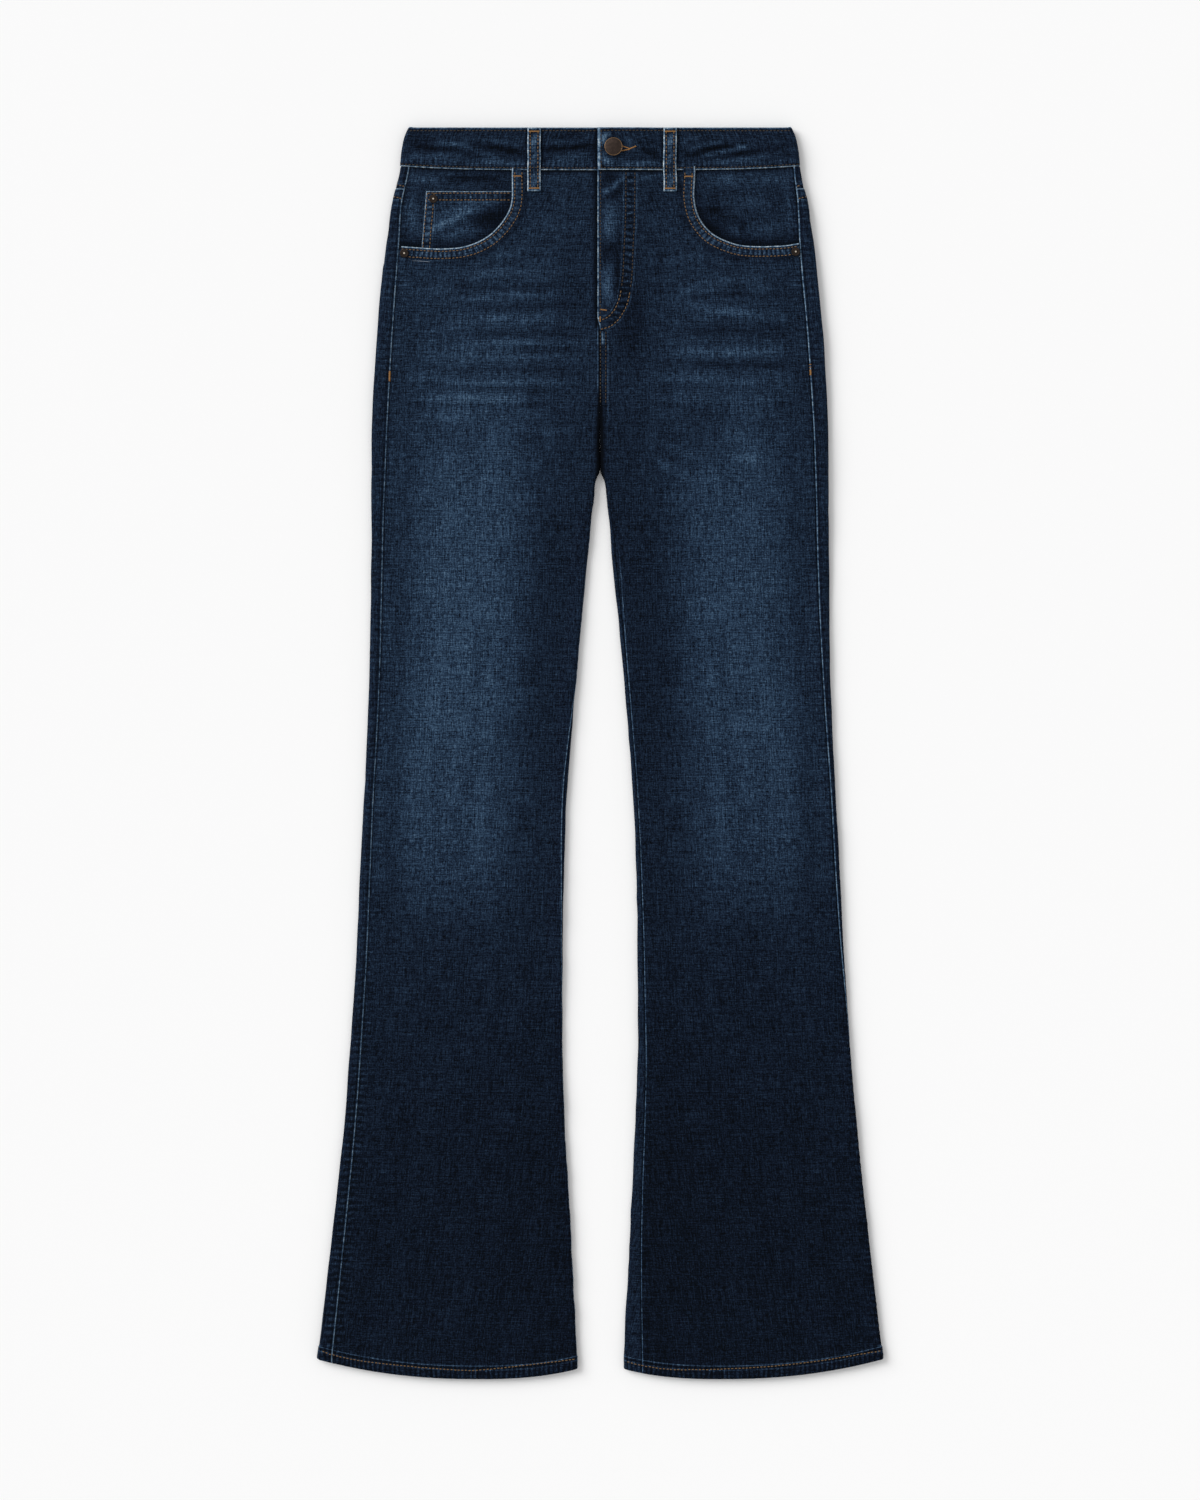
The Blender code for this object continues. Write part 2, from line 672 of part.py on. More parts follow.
def band_stations():
    """(leg, share of the way) along the band, from its overlapping end round the back to its underlap."""
    shares = (*BAND_FRONT_SHARES, *BAND_FOLD_SHARES, *BAND_BACK_SHARES)
    left = [(LEFT, share) for share in shares]
    right = [(RIGHT, share) for share in shares[::-1]]
    return [*left, (LEFT, -1), *right]


def make_waistband(collection):
    """One strip round the waist. Its left end laps over its right one at the centre front."""
    outer, inner = [], []
    for part in np.linspace(0, 1, BAND_ROWS):
        over, under = [], []
        for leg, share in band_stations():
            for depth, line in ((0.0, over), (BAND_WALL, under)):
                line.append(band_point(leg, share, part, depth))
        outer.append(over)
        inner.append(under)
    return wall("waistband", outer, inner, DENIM_BLUE, collection)


def band_point(leg, share, part, depth):
    """A point of the waistband: part goes from its lower edge, 0, to its top edge, 1."""
    end = FLY_EDGE if leg is LEFT else UNDERLAP_END
    drop = BAND_DEPTH * (1 - part)
    for _ in range(SETTLE_STEPS):
        cut = Cut(leg, drop, HEIGHT + BAND_PROUD)
        cut.edge = {1: -end, -1: 0.0}
        walk = share * cut.half(1 if share >= 0 else -1)
        if share in BAND_FOLD_SHARES:
            walk = share / BAND_FOLD_SHARES[0] * (cut.turn + BAND_FOLD_PAST)
        across, height = cut.point(walk, depth)
        top = BAND_FRONT_DROP * ease(0.0, BAND_DROP_WALK, walk)
        drop = band_line(across) + (top - band_line(across)) * part
    if walk > cut.turn:
        height += lap_lift(leg, across)
    return spot(leg, across, drop, height)


def lap_lift(leg, across):
    """The waistband's rise over its own other end, or the dip of that end below it."""
    if leg is LEFT:
        return BAND_LAP_LIFT * (1 - ease(LAP_FADE_START, LAP_FADE_END, across))
    return -BAND_LAP_DIP * (1 - ease(DIP_FADE_START, DIP_FADE_END, across))


def surface_height(leg, across, drop):
    """The top of the cloth, waistband included."""
    if drop < band_line(across) + GAP:
        return SEAT_LIFT + HEIGHT + BAND_PROUD + max(lap_lift(leg, across), 0.0)
    return SEAT_LIFT + HEIGHT + leg.front_lift(across, drop)


def make_front_loop(name, leg, across, collection):
    """A belt loop over the waistband, tacked at its two ends, with room for a belt between them."""
    sides = (across - LOOP_WIDTH / 2, across, across + LOOP_WIDTH / 2)
    outer, inner = [], []
    for slack in LOOP_SLACK:
        near = (slack.drop - LOOP_FEEL, slack.drop, slack.drop + LOOP_FEEL)
        near = [max(drop, LOOP_TOP_FEEL) for drop in near]
        cloth = max(surface_height(leg, side, drop) for side in sides for drop in near)
        bottom = cloth + GAP + slack.room
        inner.append([spot(leg, side, slack.drop, bottom) for side in sides])
        outer.append([spot(leg, side, slack.drop, bottom + LOOP_WALL) for side in sides])
    return wall(name, outer, inner, DENIM_BLUE, collection)


def make_back_loop(name, across, collection):
    """A belt loop under the waistband, pressed flat by the garment's weight."""
    bpy.ops.mesh.primitive_cube_add(size=1)
    loop = bpy.context.object
    loop.name = name
    loop.data.transform(Matrix.Diagonal((LOOP_WIDTH, LOOP_LENGTH, BACK_LOOP_WALL, 1)))
    loop.location = (across, TOP - LOOP_LENGTH / 2 - BAND_FRONT_DROP, BACK_LOOP_WALL / 2)
    loop.data.materials.append(make_material(DENIM_BLUE))
    move_to(loop, collection)
    return loop


def move_to(made, collection):
    for old in made.users_collection:
        old.objects.unlink(made)
    collection.objects.link(made)


def make_fly_shield(collection):
    """The underlap below the fly, a plain strip with its lower outer corner cut off."""
    top, foot = BAND_DEPTH + GAP, FLY_END
    outline = [
        (-SHIELD_IN, TOP - top),
        (-SHIELD_IN, TOP - foot),
        (SHIELD_FOOT_OUT, TOP - foot),
        (SHIELD_OUT, TOP - foot + SHIELD_CORNER),
        (SHIELD_OUT, TOP - top),
    ]
    height = SEAT_LIFT + SHIELD_TOP_HEIGHT
    return prism("fly_shield", outline, height - DENIM, height, FACING_BLUE, collection)


def make_back_pocket(name, sign, collection):
    """A patch pocket on the seat, flat on the surface that the garment lies on."""
    half = [(mark.across, mark.drop) for mark in BACK_POCKET]
    outline = half + [(-across, drop) for across, drop in half[-2:0:-1]]
    outline = [(sign * BACK_POCKET_ACROSS + across, TOP - drop) for across, drop in outline]
    return prism(name, outline, 0.0, DENIM, DENIM_BLUE, collection)


def make_button(collection):
    """A tack button on the waistband's overlap: a low dome with a rolled rim, on a short shank."""
    height = surface_height(LEFT, BUTTON_ACROSS, BUTTON_DROP) + GAP
    place_at = (BUTTON_ACROSS, TOP - BUTTON_DROP, height)
    return turned("waist_button", BUTTON_PROFILE, place_at, BUTTON_BRONZE, collection)


def make_rivet(name, sign, mark, collection):
    """A small domed rivet, just above the highest cloth under it."""
    leg = LEFT if sign > 0 else RIGHT
    cloth = 0.0
    for step in range(RIVET_FEELS):
        angle = step / 2
        across = mark.across + math.cos(angle) * RIVET_RADIUS
        drop = mark.drop + math.sin(angle) * RIVET_RADIUS
        front = leg.mouth_distance(across, drop) > 0
        lift = leg.front_lift(across, drop) if front else COIN_ROOM - leg.facing_sink(across, drop)
        cloth = max(cloth, SEAT_LIFT + HEIGHT + lift)
    place_at = spot(leg, mark.across, mark.drop, cloth + GAP)
    return turned(name, RIVET_PROFILE, place_at, RIVET_COPPER, collection)


def build():
    for old in list(bpy.data.objects):
        bpy.data.objects.remove(old, do_unlink=True)
    jeans = bpy.data.collections.new("slim_fit_jeans")
    cutters = bpy.data.collections.new("cutters")
    bpy.context.scene.collection.children.link(jeans)
    bpy.context.scene.collection.children.link(cutters)

    for side, leg in (("right", RIGHT), ("left", LEFT)):
        make_front(leg, f"front_{side}_leg", jeans, cutters)
        make_back(leg, f"back_{side}_leg", jeans)
        make_yoke(leg, f"yoke_{side}", jeans)
        make_facing(leg, f"pocket_facing_{side}", jeans)
        make_back_pocket(f"back_pocket_{side}", leg.sign, jeans)
    make_coin_pocket(RIGHT, "coin_pocket", jeans, cutters)
    make_fly_shield(jeans)
    make_waistband(jeans)
    for name, sign, across in FRONT_LOOPS:
        make_front_loop(name, LEFT if sign > 0 else RIGHT, across, jeans)
    for name, across in BACK_LOOPS:
        make_back_loop(name, across, jeans)
    make_button(jeans)
    for name, sign, mark in RIVETS:
        make_rivet(name, sign, mark, jeans)

    for cutter in cutters.objects:
        cutter.hide_render = True
        cutter.display_type = "WIRE"
    cutters.hide_render = True
    middle = bpy.data.objects.new("jeans", None)
    jeans.objects.link(middle)
    for piece in jeans.objects:
        if piece is not middle:
            piece.parent = middle


build()
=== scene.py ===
"""The looks of slim fit jeans that lie flat on their back: denim panels, turned edges, sewing and metal trim.

Places are given the way a tailor measures them. The drop is the distance below the top of the waistband and
the across is the distance from the centre line. A walk is a distance along the cloth from a leg's outer
fold, over the front where it is positive and underneath where it is negative. A rise is how far something
stands out of the cloth's plain surface. Left and right are the wearer's, so the right leg is at -X.
"""

import json
import math
from collections import namedtuple

import bpy
import numpy as np
from mathutils import Matrix, Vector
from mathutils.bvhtree import BVHTree

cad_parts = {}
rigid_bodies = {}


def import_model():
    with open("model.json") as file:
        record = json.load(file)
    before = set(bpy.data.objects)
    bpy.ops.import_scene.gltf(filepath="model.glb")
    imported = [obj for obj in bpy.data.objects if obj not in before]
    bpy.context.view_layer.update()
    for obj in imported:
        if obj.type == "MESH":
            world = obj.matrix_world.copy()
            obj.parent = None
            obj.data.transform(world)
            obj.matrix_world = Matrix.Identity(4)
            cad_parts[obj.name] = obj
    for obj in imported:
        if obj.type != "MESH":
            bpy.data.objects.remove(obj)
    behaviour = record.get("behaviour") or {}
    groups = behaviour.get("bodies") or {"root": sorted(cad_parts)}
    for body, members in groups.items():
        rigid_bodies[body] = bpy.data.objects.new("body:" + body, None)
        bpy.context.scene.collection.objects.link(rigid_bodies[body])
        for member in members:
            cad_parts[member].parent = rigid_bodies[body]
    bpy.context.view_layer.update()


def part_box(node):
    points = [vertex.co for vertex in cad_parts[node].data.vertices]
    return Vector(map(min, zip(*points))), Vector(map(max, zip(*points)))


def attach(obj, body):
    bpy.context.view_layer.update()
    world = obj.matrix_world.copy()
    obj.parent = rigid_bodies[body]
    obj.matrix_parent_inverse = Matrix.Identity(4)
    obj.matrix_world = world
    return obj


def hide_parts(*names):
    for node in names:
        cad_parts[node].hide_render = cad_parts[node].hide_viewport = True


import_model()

bl_info = {
    "name": "Slim fit jeans",
    "version": (1, 0, 0),
    "blender": (4, 5, 0),
    "location": "3D View > Sidebar > Jeans",
    "description": "Denim, sewing and metal trim for jeans that lie flat",
    "category": "Object",
}

MM = 0.001
PIXEL = 0.000945  # metres in one pixel of the photograph
# Its column on the centre line, its row at the top of the waistband, and its middle row
PIXEL_CENTRE, PIXEL_TOP, PIXEL_MIDDLE = 600, 128, 750
BODY = "root"
FLOOR_CLEARANCE = 0.00002
SHARP_CORNER = 55  # degrees


def table(kind, *rows):
    """The rows of a table, each with the names of its kind."""
    return tuple(kind(*row) for row in rows)


# ---------------------------------------------------------------- sizes that the solids share
LENGTH = 1.1813
TOP = LENGTH / 2
HEIGHT = 0.0062
DENIM = 0.0012
LINING_WEIGHT = 0.0010
GAP = 0.0003
HALF_GAP = GAP / 2
CENTRE_GAP = 0.00003  # the legs touch along the seat seam, so no light comes through it
TINY = 1e-9
STEP = DENIM + GAP

SEAT_LIFT = 0.0015
SEAT_END, LEG_START = 0.2948, 0.4082  # the legs come down to the floor between these drops
SLIT_START, CROTCH = 0.2476, 0.3232  # the fronts' inner edges roll in between these
SEAT_ROLL_END = 0.332  # down to here the fronts' rolled edges stay close together
CLOSED_ROLL = 1.5  # an inner edge rolled this far, in radians, is a leg's own fold
YOKE_AT_FOLD, YOKE_AT_CENTRE = 0.0614, 0.1060
YOKE_REACH = 0.2110  # the back's rows slant with the yoke's seam down to here

BAND_DEPTH, BAND_RISE = 0.0409, 0.0039
BAND_FOLD = 0.1890
BAND_WALL = 0.0020
BAND_PROUD = 0.0008
BAND_FRONT_DROP = 0.0009
BAND_LAP_LIFT, BAND_LAP_DIP = 0.0017, 0.0006
BAND_HALF = 0.19  # about how long each half of its front is
UNDERLAP_END = 0.0300

FLY_EDGE, FLY_TUCK = 0.0024, 0.0030
FLY_END, FLY_FADE_END = 0.1833, 0.2090
FLY_WIDTH, FLY_FADE_WIDTH = 0.0330, 0.0560

FACING_SINK, FACING_SUNK = -0.0150, 0.0200
FACING_REACH = 0.0120
MOUTH_CUT = 0.0016  # the front panel ends this far from the mouth, under its turned edge
FACING_FOOT = 0.1500
COIN_TOP, COIN_SIDE_TOP, COIN_SIDE_FOOT = 0.0611, 0.1638, 0.1687
COIN_TUCK = 0.0050
COIN_ROOM = LINING_WEIGHT + GAP
COIN_FADE_START, COIN_FADE_END = 0.0080, 0.0260

HEM_DEPTH = 0.0118
HEM_SAG_PEAK = 0.38
HEM_SAG_INNER, HEM_SAG_OUTER = 0.0095, 0.0189
HEM_SAG_POWERS = 2.5, 2.2
FADE_DEPTH = 0.0900  # how far up the waist's line and the hem's still bend the rows

LOOP_WIDTH, LOOP_WALL, LOOP_LENGTH = 0.0125, 0.0014, 0.0611
BACK_LOOP_WALL = 0.0012
BUTTON_ACROSS, BUTTON_DROP = 0.0127, 0.0194
BUTTON_RADIUS = 0.0085
BUTTON_DOME = (
    (0.0032, 0.0), (0.0032, 0.0012), (0.0076, 0.0013), (0.0081, 0.0017), (0.0081, 0.0021),
    (0.0079, 0.0024), (0.0074, 0.00262), (0.0066, 0.00285), (0.0055, 0.00312), (0.0042, 0.00335),
    (0.0028, 0.0035), (0.0014, 0.0036), (0.0001, 0.00362),
)
RIM_HEIGHT, RIM_HALF_WIDTH, RIM_HALF_RISE = 0.0020, 0.0004, 0.0005
RIVET_RADIUS = 0.0041
RIVET_DOME = (  # each radius is a share of the rivet's own
    (0.98, 0.0), (1.0, 0.0003), (0.97, 0.0007), (0.88, 0.0010), (0.76, 0.00102), (0.66, 0.00085),
    (0.56, 0.00085), (0.46, 0.0011), (0.30, 0.00125), (0.12, 0.0013), (0.01, 0.0013),
)

Fold = namedtuple("Fold", "drop outer inner")
OUTLINE = table(
    Fold,
    (0, 0.1805, 0), (0.0076, 0.1840, 0), (0.0208, 0.1871, 0), (0.0406, 0.1892, 0), (0.0680, 0.1956, 0),
    (0.1058, 0.2013, 0), (0.1625, 0.2079, 0), (0.2192, 0.2126, 0), (0.2759, 0.2153, 0),
    (0.3232, 0.2159, 0), (0.3326, 0.2160, 0.0038), (0.3515, 0.2162, 0.0062), (0.4082, 0.2164, 0.0113),
    (0.4838, 0.2171, 0.0189), (0.5594, 0.2192, 0.0255), (0.6350, 0.2230, 0.0312),
    (0.7106, 0.2268, 0.0340), (0.7862, 0.2306, 0.0352), (0.8618, 0.2358, 0.0352),
    (0.9374, 0.2419, 0.0331), (1.0130, 0.2498, 0.0293), (1.0886, 0.2585, 0.0255),
    (1.1605, 0.2672, 0.0217),
)
Seams = namedtuple("Seams", "drop outseam inseam")
RIGHT_SEAMS = table(
    Seams,
    (0.0406, 0.0093, 0), (0.0728, 0.0099, 0), (0.1106, 0.0127, 0), (0.1625, 0.0148, 0),
    (0.2381, 0.0158, 0), (0.3988, 0.0118, 0), (0.5216, 0.0104, 0), (0.6256, 0.0096, 0.0030),
    (0.7295, 0.0104, 0.0009), (0.8524, 0.0113, 0), (1.0745, 0.0134, 0), (1.1595, 0.0148, 0),
)
LEFT_SEAMS = table(
    Seams,
    (0.0406, 0.0066, 0), (0.0728, 0.0104, 0), (0.1134, 0.0142, 0), (0.1625, 0.0156, 0),
    (0.2353, 0.0155, 0), (0.3232, 0.0132, 0), (0.3893, 0.0119, 0.0043), (0.6161, 0.0053, 0.0043),
    (0.7295, 0.0043, 0.0054), (0.8618, 0.0002, 0.0078), (1.0886, 0, 0.0132), (1.1595, 0, 0.0180),
)
# The pocket mouths, as points of (across, drop)
RIGHT_MOUTH = (
    (0.0828, 0.0302), (0.0828, 0.0473), (0.0835, 0.0728), (0.0921, 0.0901), (0.1068, 0.1045),
    (0.1269, 0.1132), (0.1503, 0.1155), (0.1720, 0.1143), (0.1871, 0.1132),
)
LEFT_MOUTH = (
    (0.0894, 0.0302), (0.0892, 0.0478), (0.0885, 0.0674), (0.0930, 0.0854), (0.1051, 0.1005),
    (0.1231, 0.1095), (0.1412, 0.1128), (0.1713, 0.1125), (0.1871, 0.1103),
)
MOUTH_REACH = 0.0600
MOUTH_STEPS = 4
# Where the small trim is, each with its side's sign, its across and, for a rivet, its drop
RIVETS = (
    ("rivet_coin_pocket", -1, 0.1572, 0.0683),
    ("rivet_pocket_right", -1, 0.1845, 0.1197),
    ("rivet_pocket_left", 1, 0.1845, 0.1181),
)
FRONT_LOOPS = (("belt_loop_front_right", -1, 0.0621), ("belt_loop_front_left", 1, 0.0661))
BACK_LOOPS = (
    ("belt_loop_back_right", -0.1150),
    ("belt_loop_back_centre", 0.0),
    ("belt_loop_back_left", 0.1150),
)
Slack = namedtuple("Slack", "drop room")
LOOP_SLACK = table(
    Slack,
    (0.0012, 0), (0.0048, 0), (0.0110, 0.0011), (0.0205, 0.0015), (0.0300, 0.0012), (0.0372, 0.0004),
    (0.0416, 0), (0.0470, 0.0004), (0.0530, 0.0001), (0.0570, 0), (0.0611, 0),
)
# A back pocket: its middle, then the drops of its top, its lower corners and its point
Corner = namedtuple("Corner", "aside drop")
POCKET_ACROSS, POCKET_TOP, POCKET_FOOT = 0.1060, 0.1290, 0.2760
POCKET_WIDE, POCKET_LOW = Corner(0.0740, 0.1270), Corner(0.0640, 0.2530)

# ---------------------------------------------------------------- wear, painted shade, folds and sewing
# How light the denim is, on a scale of 0 to 255: beside the outer fold, beside the inner one, and what the
# worn patch down the middle of the thigh adds
Tone = namedtuple("Tone", "drop outer inner patch")
TONES = table(
    Tone,
    (0.0400, 42, 39, 0), (0.1480, 42, 37, 3), (0.2100, 40, 39, 9), (0.2480, 40, 38, 10),
    (0.2850, 40, 35, 11), (0.3330, 43, 33, 15), (0.4080, 42, 30, 19), (0.5000, 43, 31, 19),
    (0.5880, 44, 31, 16), (0.6540, 43, 32, 15), (0.7010, 38, 31, 14), (0.7300, 34, 30, 11),
    (0.7580, 32, 29, 4), (0.7960, 30, 29, 1), (0.8710, 27, 24, 0), (1.0130, 23, 20, 0),
    (1.1813, 22, 20, 0),
)
PATCH_START, PATCH_END = (0.10, 0.30), (0.58, 0.84)  # shares of the way from the outer fold to the inner one
MEAN_TONE = 36  # where the front is this light, the back has its own tone
BAND_TONE, LOOP_TONE, FACING_TONE, COIN_TONE, BACK_TONE, STRIP_TONE = 29, 60, 31, 37, 34, 30
RIGHT_TONE_SCALE, LEFT_TONE_SCALE = 0.87, 0.79  # the left leg's tone is scaled darker than the right one's
# The drops between which, or at which, marks come in or go out
LOW_LEG = 0.75, 0.95
MOUTH_LIGHT_TOP = 0.10
INSEAM_LIGHT, INSEAM_SHIFT = (0.345, 0.37), (0.52, 0.38)
FLY_LIGHT_END, FLY_GATHER_END, FLY_SHADE_END = (0.186, 0.210), 0.185, 0.19
SEAT_LIGHT = 0.183, 0.254
# Where the painted shade in the seat seam's crease comes in, goes out and widens
SEAT_SHADE_START, SEAT_SHADE_END, SEAT_SHADE_GROWTH = (0.182, 0.190), (0.330, 0.338), (0.235, 0.300)
MID_LEG = 0.5  # well below the yoke's rows and well above the hem's

# How one gather beside a seam follows another, along the seams that run down and those that run across
GATHER_PITCH, LEVEL_GATHER_PITCH = 0.0062, 0.0046
# The thread rows, as distances from the edge that each one follows
MOUTH_ROWS = (0.0024, 0.0092)
COIN_ROWS = (0.0018, 0.0082)
COIN_SIDE_ROWS = (0.0012, 0.0076)
BAND_TOP_ROW, BAND_FOOT_ROW = 0.0030, 0.0018
HEM_ROW = 0.0104
LOOP_ROW = 0.0026
POCKET_ROWS = (0.0022, 0.0085)
YOKE_ROWS = (-0.0058, 0.0056)
POCKET_HEM_ROW, POCKET_HEM_REACH = 0.0110, 0.0720
BACK_SEAM_ROWS = (0.0025, 0.0085)
# Half the spacing of each pair of rows, in mm
HALF_MOUTH, HALF_COIN, HALF_YOKE, HALF_FLY, HALF_SEAT, HALF_LOOP = 3.4, 3.2, 5.7, 4.2, 2.5, 3.65
# Where the rows of the front end that no edge ends: acrosses of the waistband's and the coin pocket's upper
# ones, and drops of the coin pocket's side and of the seat seam's at the back
BAND_FOOT_END, BAND_TOP_END, COIN_ROW_END = 0.1878, 0.1800, 0.0845
COIN_SIDE_END, BACK_SEAM_END = 0.1150, 0.2850

# A stitch's share of the pitch, how unevenly it starts, and how far it strays to a side
STITCH_SPAN, STITCH_JITTER, STITCH_WANDER = (0.11, 0.89), 0.06, 0.00008
YOKE_PITCH = 0.0026
RAY_START = 0.05  # how far from the floor's level the search for the cloth begins

# Sewing that is placed in pixels of the photograph. The middle of the fly's double row comes first.
FLY_MIDDLE = (
    (630.4, 165), (630, 215), (628.6, 250), (627, 280),
    (623.3, 302), (616.4, 316), (608, 323.4), (599, 326.4),
)
FLY_ROW_TOP, FLY_ROW_TURN = 172, 290  # its rows begin, and from the turn on their thread is brown
FLY_EDGE_ROW = ((600.6, 173), (600.3, 250), (600.2, 316))
FLY_FOOT, SEAT_MARK_END = 203, 300  # below the waistband's top, the furrows of the fly and of the seat end
SEAT_MIDDLE, SEAT_TOP, SEAT_FOOT = 603.1, 332, 404
HEM_LINES = (
    ((319, 1348.4), (338, 1355), (376.5, 1361.7), (453, 1368.6), (491, 1367.9), (575.5, 1358)),
    ((623.4, 1359.6), (645, 1365), (682.7, 1368.6), (759, 1366), (820, 1359.5), (880.5, 1349.6)),
)
# Close-sewn threads: from and to, and how wide. The buttonhole's two edges meet in its tail.
BUTTONHOLE = (
    ((618.5, 146.4), (629.6, 150.3), 0.0011),
    ((618.5, 153.0), (629.6, 151.0), 0.0011),
    ((628.6, 150.9), (636.0, 147.8), 0.0014),
)
BAR_TACKS = (
    ((513.6, 177.4), (521.8, 177.4), 0.0015),
    ((684.2, 177.8), (693.0, 177.8), 0.0015),
    ((600.4, 310.6), (606.6, 311.4), 0.0014),
    ((600.2, 317.6), (600.2, 323.0), 0.0014),
    ((390.2, 371), (390.0, 382), 0.0021),
    ((809.8, 365), (810.2, 376), 0.0021),
)

# How the columns and rows of a panel crowd toward its edges. The last ones are the rows at the hem's fold.
EDGE_STEPS = np.array((0.0, 0.3, 0.7, 1.2, 1.9, 2.8, 4.0, 5.6, 7.6)) * MM
ROW_STEP, COLUMN_STEP = 0.0042, 0.0046
HEM_STEP_ROWS = LENGTH - HEM_DEPTH - np.array((2.0, 1.2, 0.6, 0.1, -0.4)) * MM

# The turned edge of a pocket mouth, in mm: a distance from the edge and the rise above the panel
MOUTH_LIP = (
    (2.0, -1.25), (0.3, -1.25), (-0.20, -0.95), (-0.38, -0.50), (-0.20, -0.05), (0.20, 0.24),
    (0.70, 0.38), (1.30, 0.40), (1.90, 0.26), (2.40, 0.14), (2.90, 0.24), (3.80, 0.38), (5.20, 0.42),
    (7.00, 0.38), (8.40, 0.22), (9.20, 0.04), (9.90, 0.06), (10.8, 0.00), (11.8, -0.12), (12.6, -0.60),
)

# Worn ridges, light, and the hollows between them, dark, as strokes; the dark ones are partly painted shade,
# as where the facings bow under the pocket mouths. For each: where it begins and ends, the width, what it
# adds to the wear, and how far its middle bows out. All are in pixels of the photograph.
Stroke = namedtuple("Stroke", "x y x_end y_end width tone bow", defaults=(0,))
FRONT_STROKES = table(
    Stroke,
    (408, 262, 452, 264, 1.6, 21), (545, 230, 589, 226, 4.0, 9), (487, 255, 531, 252, 4.0, 9),
    (462, 278, 508, 275, 4.0, 10), (405, 291, 470, 289, 3.0, 8), (455, 301, 588, 290, 3.0, 14),
    (440, 310, 590, 306, 4.0, -9), (448, 322, 574, 322, 4.5, 14, -3), (440, 336, 592, 334, 3.5, -10),
    (444, 347, 592, 343, 2.2, 20, -2), (425, 357, 585, 356, 5.0, 12), (420, 370, 590, 371, 3.5, -10),
    (397, 378, 592, 386, 2.2, 18, 2), (415, 398, 530, 400, 8.0, 15), (416, 419, 488, 421, 5.0, 10),
    (528, 433, 584, 430, 2.2, 12), (450, 273, 590, 272, 3.5, 9), (420, 288, 590, 290, 3.5, -10),
    (495, 351, 590, 352, 3.0, -14), (400, 391, 590, 391, 3.0, -12), (445, 399, 520, 400, 3.5, 12),
    (420, 407, 560, 407, 2.5, -9), (448, 414, 500, 413, 3.0, 9), (690, 281, 765, 281, 3.5, 12),
    (690, 295, 805, 296, 3.5, -11), (692, 312, 760, 314, 3.0, 10), (690, 329, 805, 330, 4.0, -9),
    (690, 366, 805, 367, 3.5, -10), (725, 459, 768, 461, 5.0, 14), (700, 400, 706, 470, 24.0, -9),
    (652, 436, 700, 462, 3.5, 9), (648, 456, 690, 482, 3.5, 8), (655, 448, 700, 474, 3.0, -8),
    (664, 260, 702, 262, 5.0, 9), (660, 246, 660, 287, 2.5, -12), (672, 292, 722, 290, 3.2, 14),
    (745, 295, 772, 290, 3.0, 10), (668, 302, 795, 319, 4.0, 14, 3), (664, 331, 792, 336, 5.0, -9),
    (660, 352, 792, 350, 3.6, 21, 3), (660, 364, 792, 366, 4.0, -9), (645, 375, 799, 382, 2.6, 16, 3),
    (650, 398, 780, 402, 4.0, 9), (716, 433, 764, 447, 12.0, 10), (633, 285, 628, 372, 14.0, -10),
    (609, 204, 609, 243, 6.0, 34), (616, 204, 615, 234, 1.6, 21), (607, 264, 608, 308, 5.5, 32),
    (600, 253, 616, 253, 7.0, -14), (620, 236, 618, 300, 3.0, -18), (602.5, 333, 603, 347, 2.2, 60),
    (601, 196, 615, 187, 1.8, 38), (613, 189, 626, 176, 1.8, 30), (603, 182, 618, 176, 4.0, -18),
    (610, 199, 623, 190, 3.0, -15), (640, 180, 662, 175, 2.5, 15), (430, 640, 545, 655, 5.0, 4),
    (420, 705, 540, 690, 5.0, 4), (650, 610, 760, 590, 5.0, 4), (690, 720, 800, 735, 5.0, 4),
)
BAND_STROKES = table(
    Stroke,
    (404, 141, 440, 141, 3.0, -10), (410, 146, 452, 151, 2.2, -23, 1),
    (446, 151, 486, 158, 2.2, -23, -1), (404, 157, 470, 159, 3.0, 18),
    (428, 144, 478, 151, 1.8, 23, -2), (450, 152, 504, 160, 1.6, 23, -1), (453, 144, 457, 147, 1.6, 34),
    (472, 147, 528, 157, 3.0, -23, -2), (470, 139, 528, 148, 1.8, 20, -1),
    (478, 163, 528, 166, 2.5, 20), (543, 152, 580, 149, 2.6, -21), (545, 145, 575, 142, 2.0, 16),
    (550, 160, 592, 157, 4.0, 16), (570, 149, 596, 146, 2.4, -23), (602, 147, 611, 134, 2.6, 60, -3),
    (602, 154, 614, 166, 3.0, 44, 3), (622, 140, 640, 146, 2.0, 23), (616, 168, 660, 164, 2.6, 20),
    (640, 150, 660, 158, 4.0, -16), (682, 142, 706, 136, 3.0, 16), (684, 159, 742, 147, 2.4, -26, -3),
    (684, 152, 728, 144, 1.8, 20, -2), (700, 159, 752, 149, 1.7, 29, -2),
    (718, 159, 764, 152, 2.0, -21, -1), (712, 165, 772, 157, 2.4, 20), (734, 146, 747, 150, 1.6, 31),
    (760, 152, 796, 146, 3.0, -13),
)
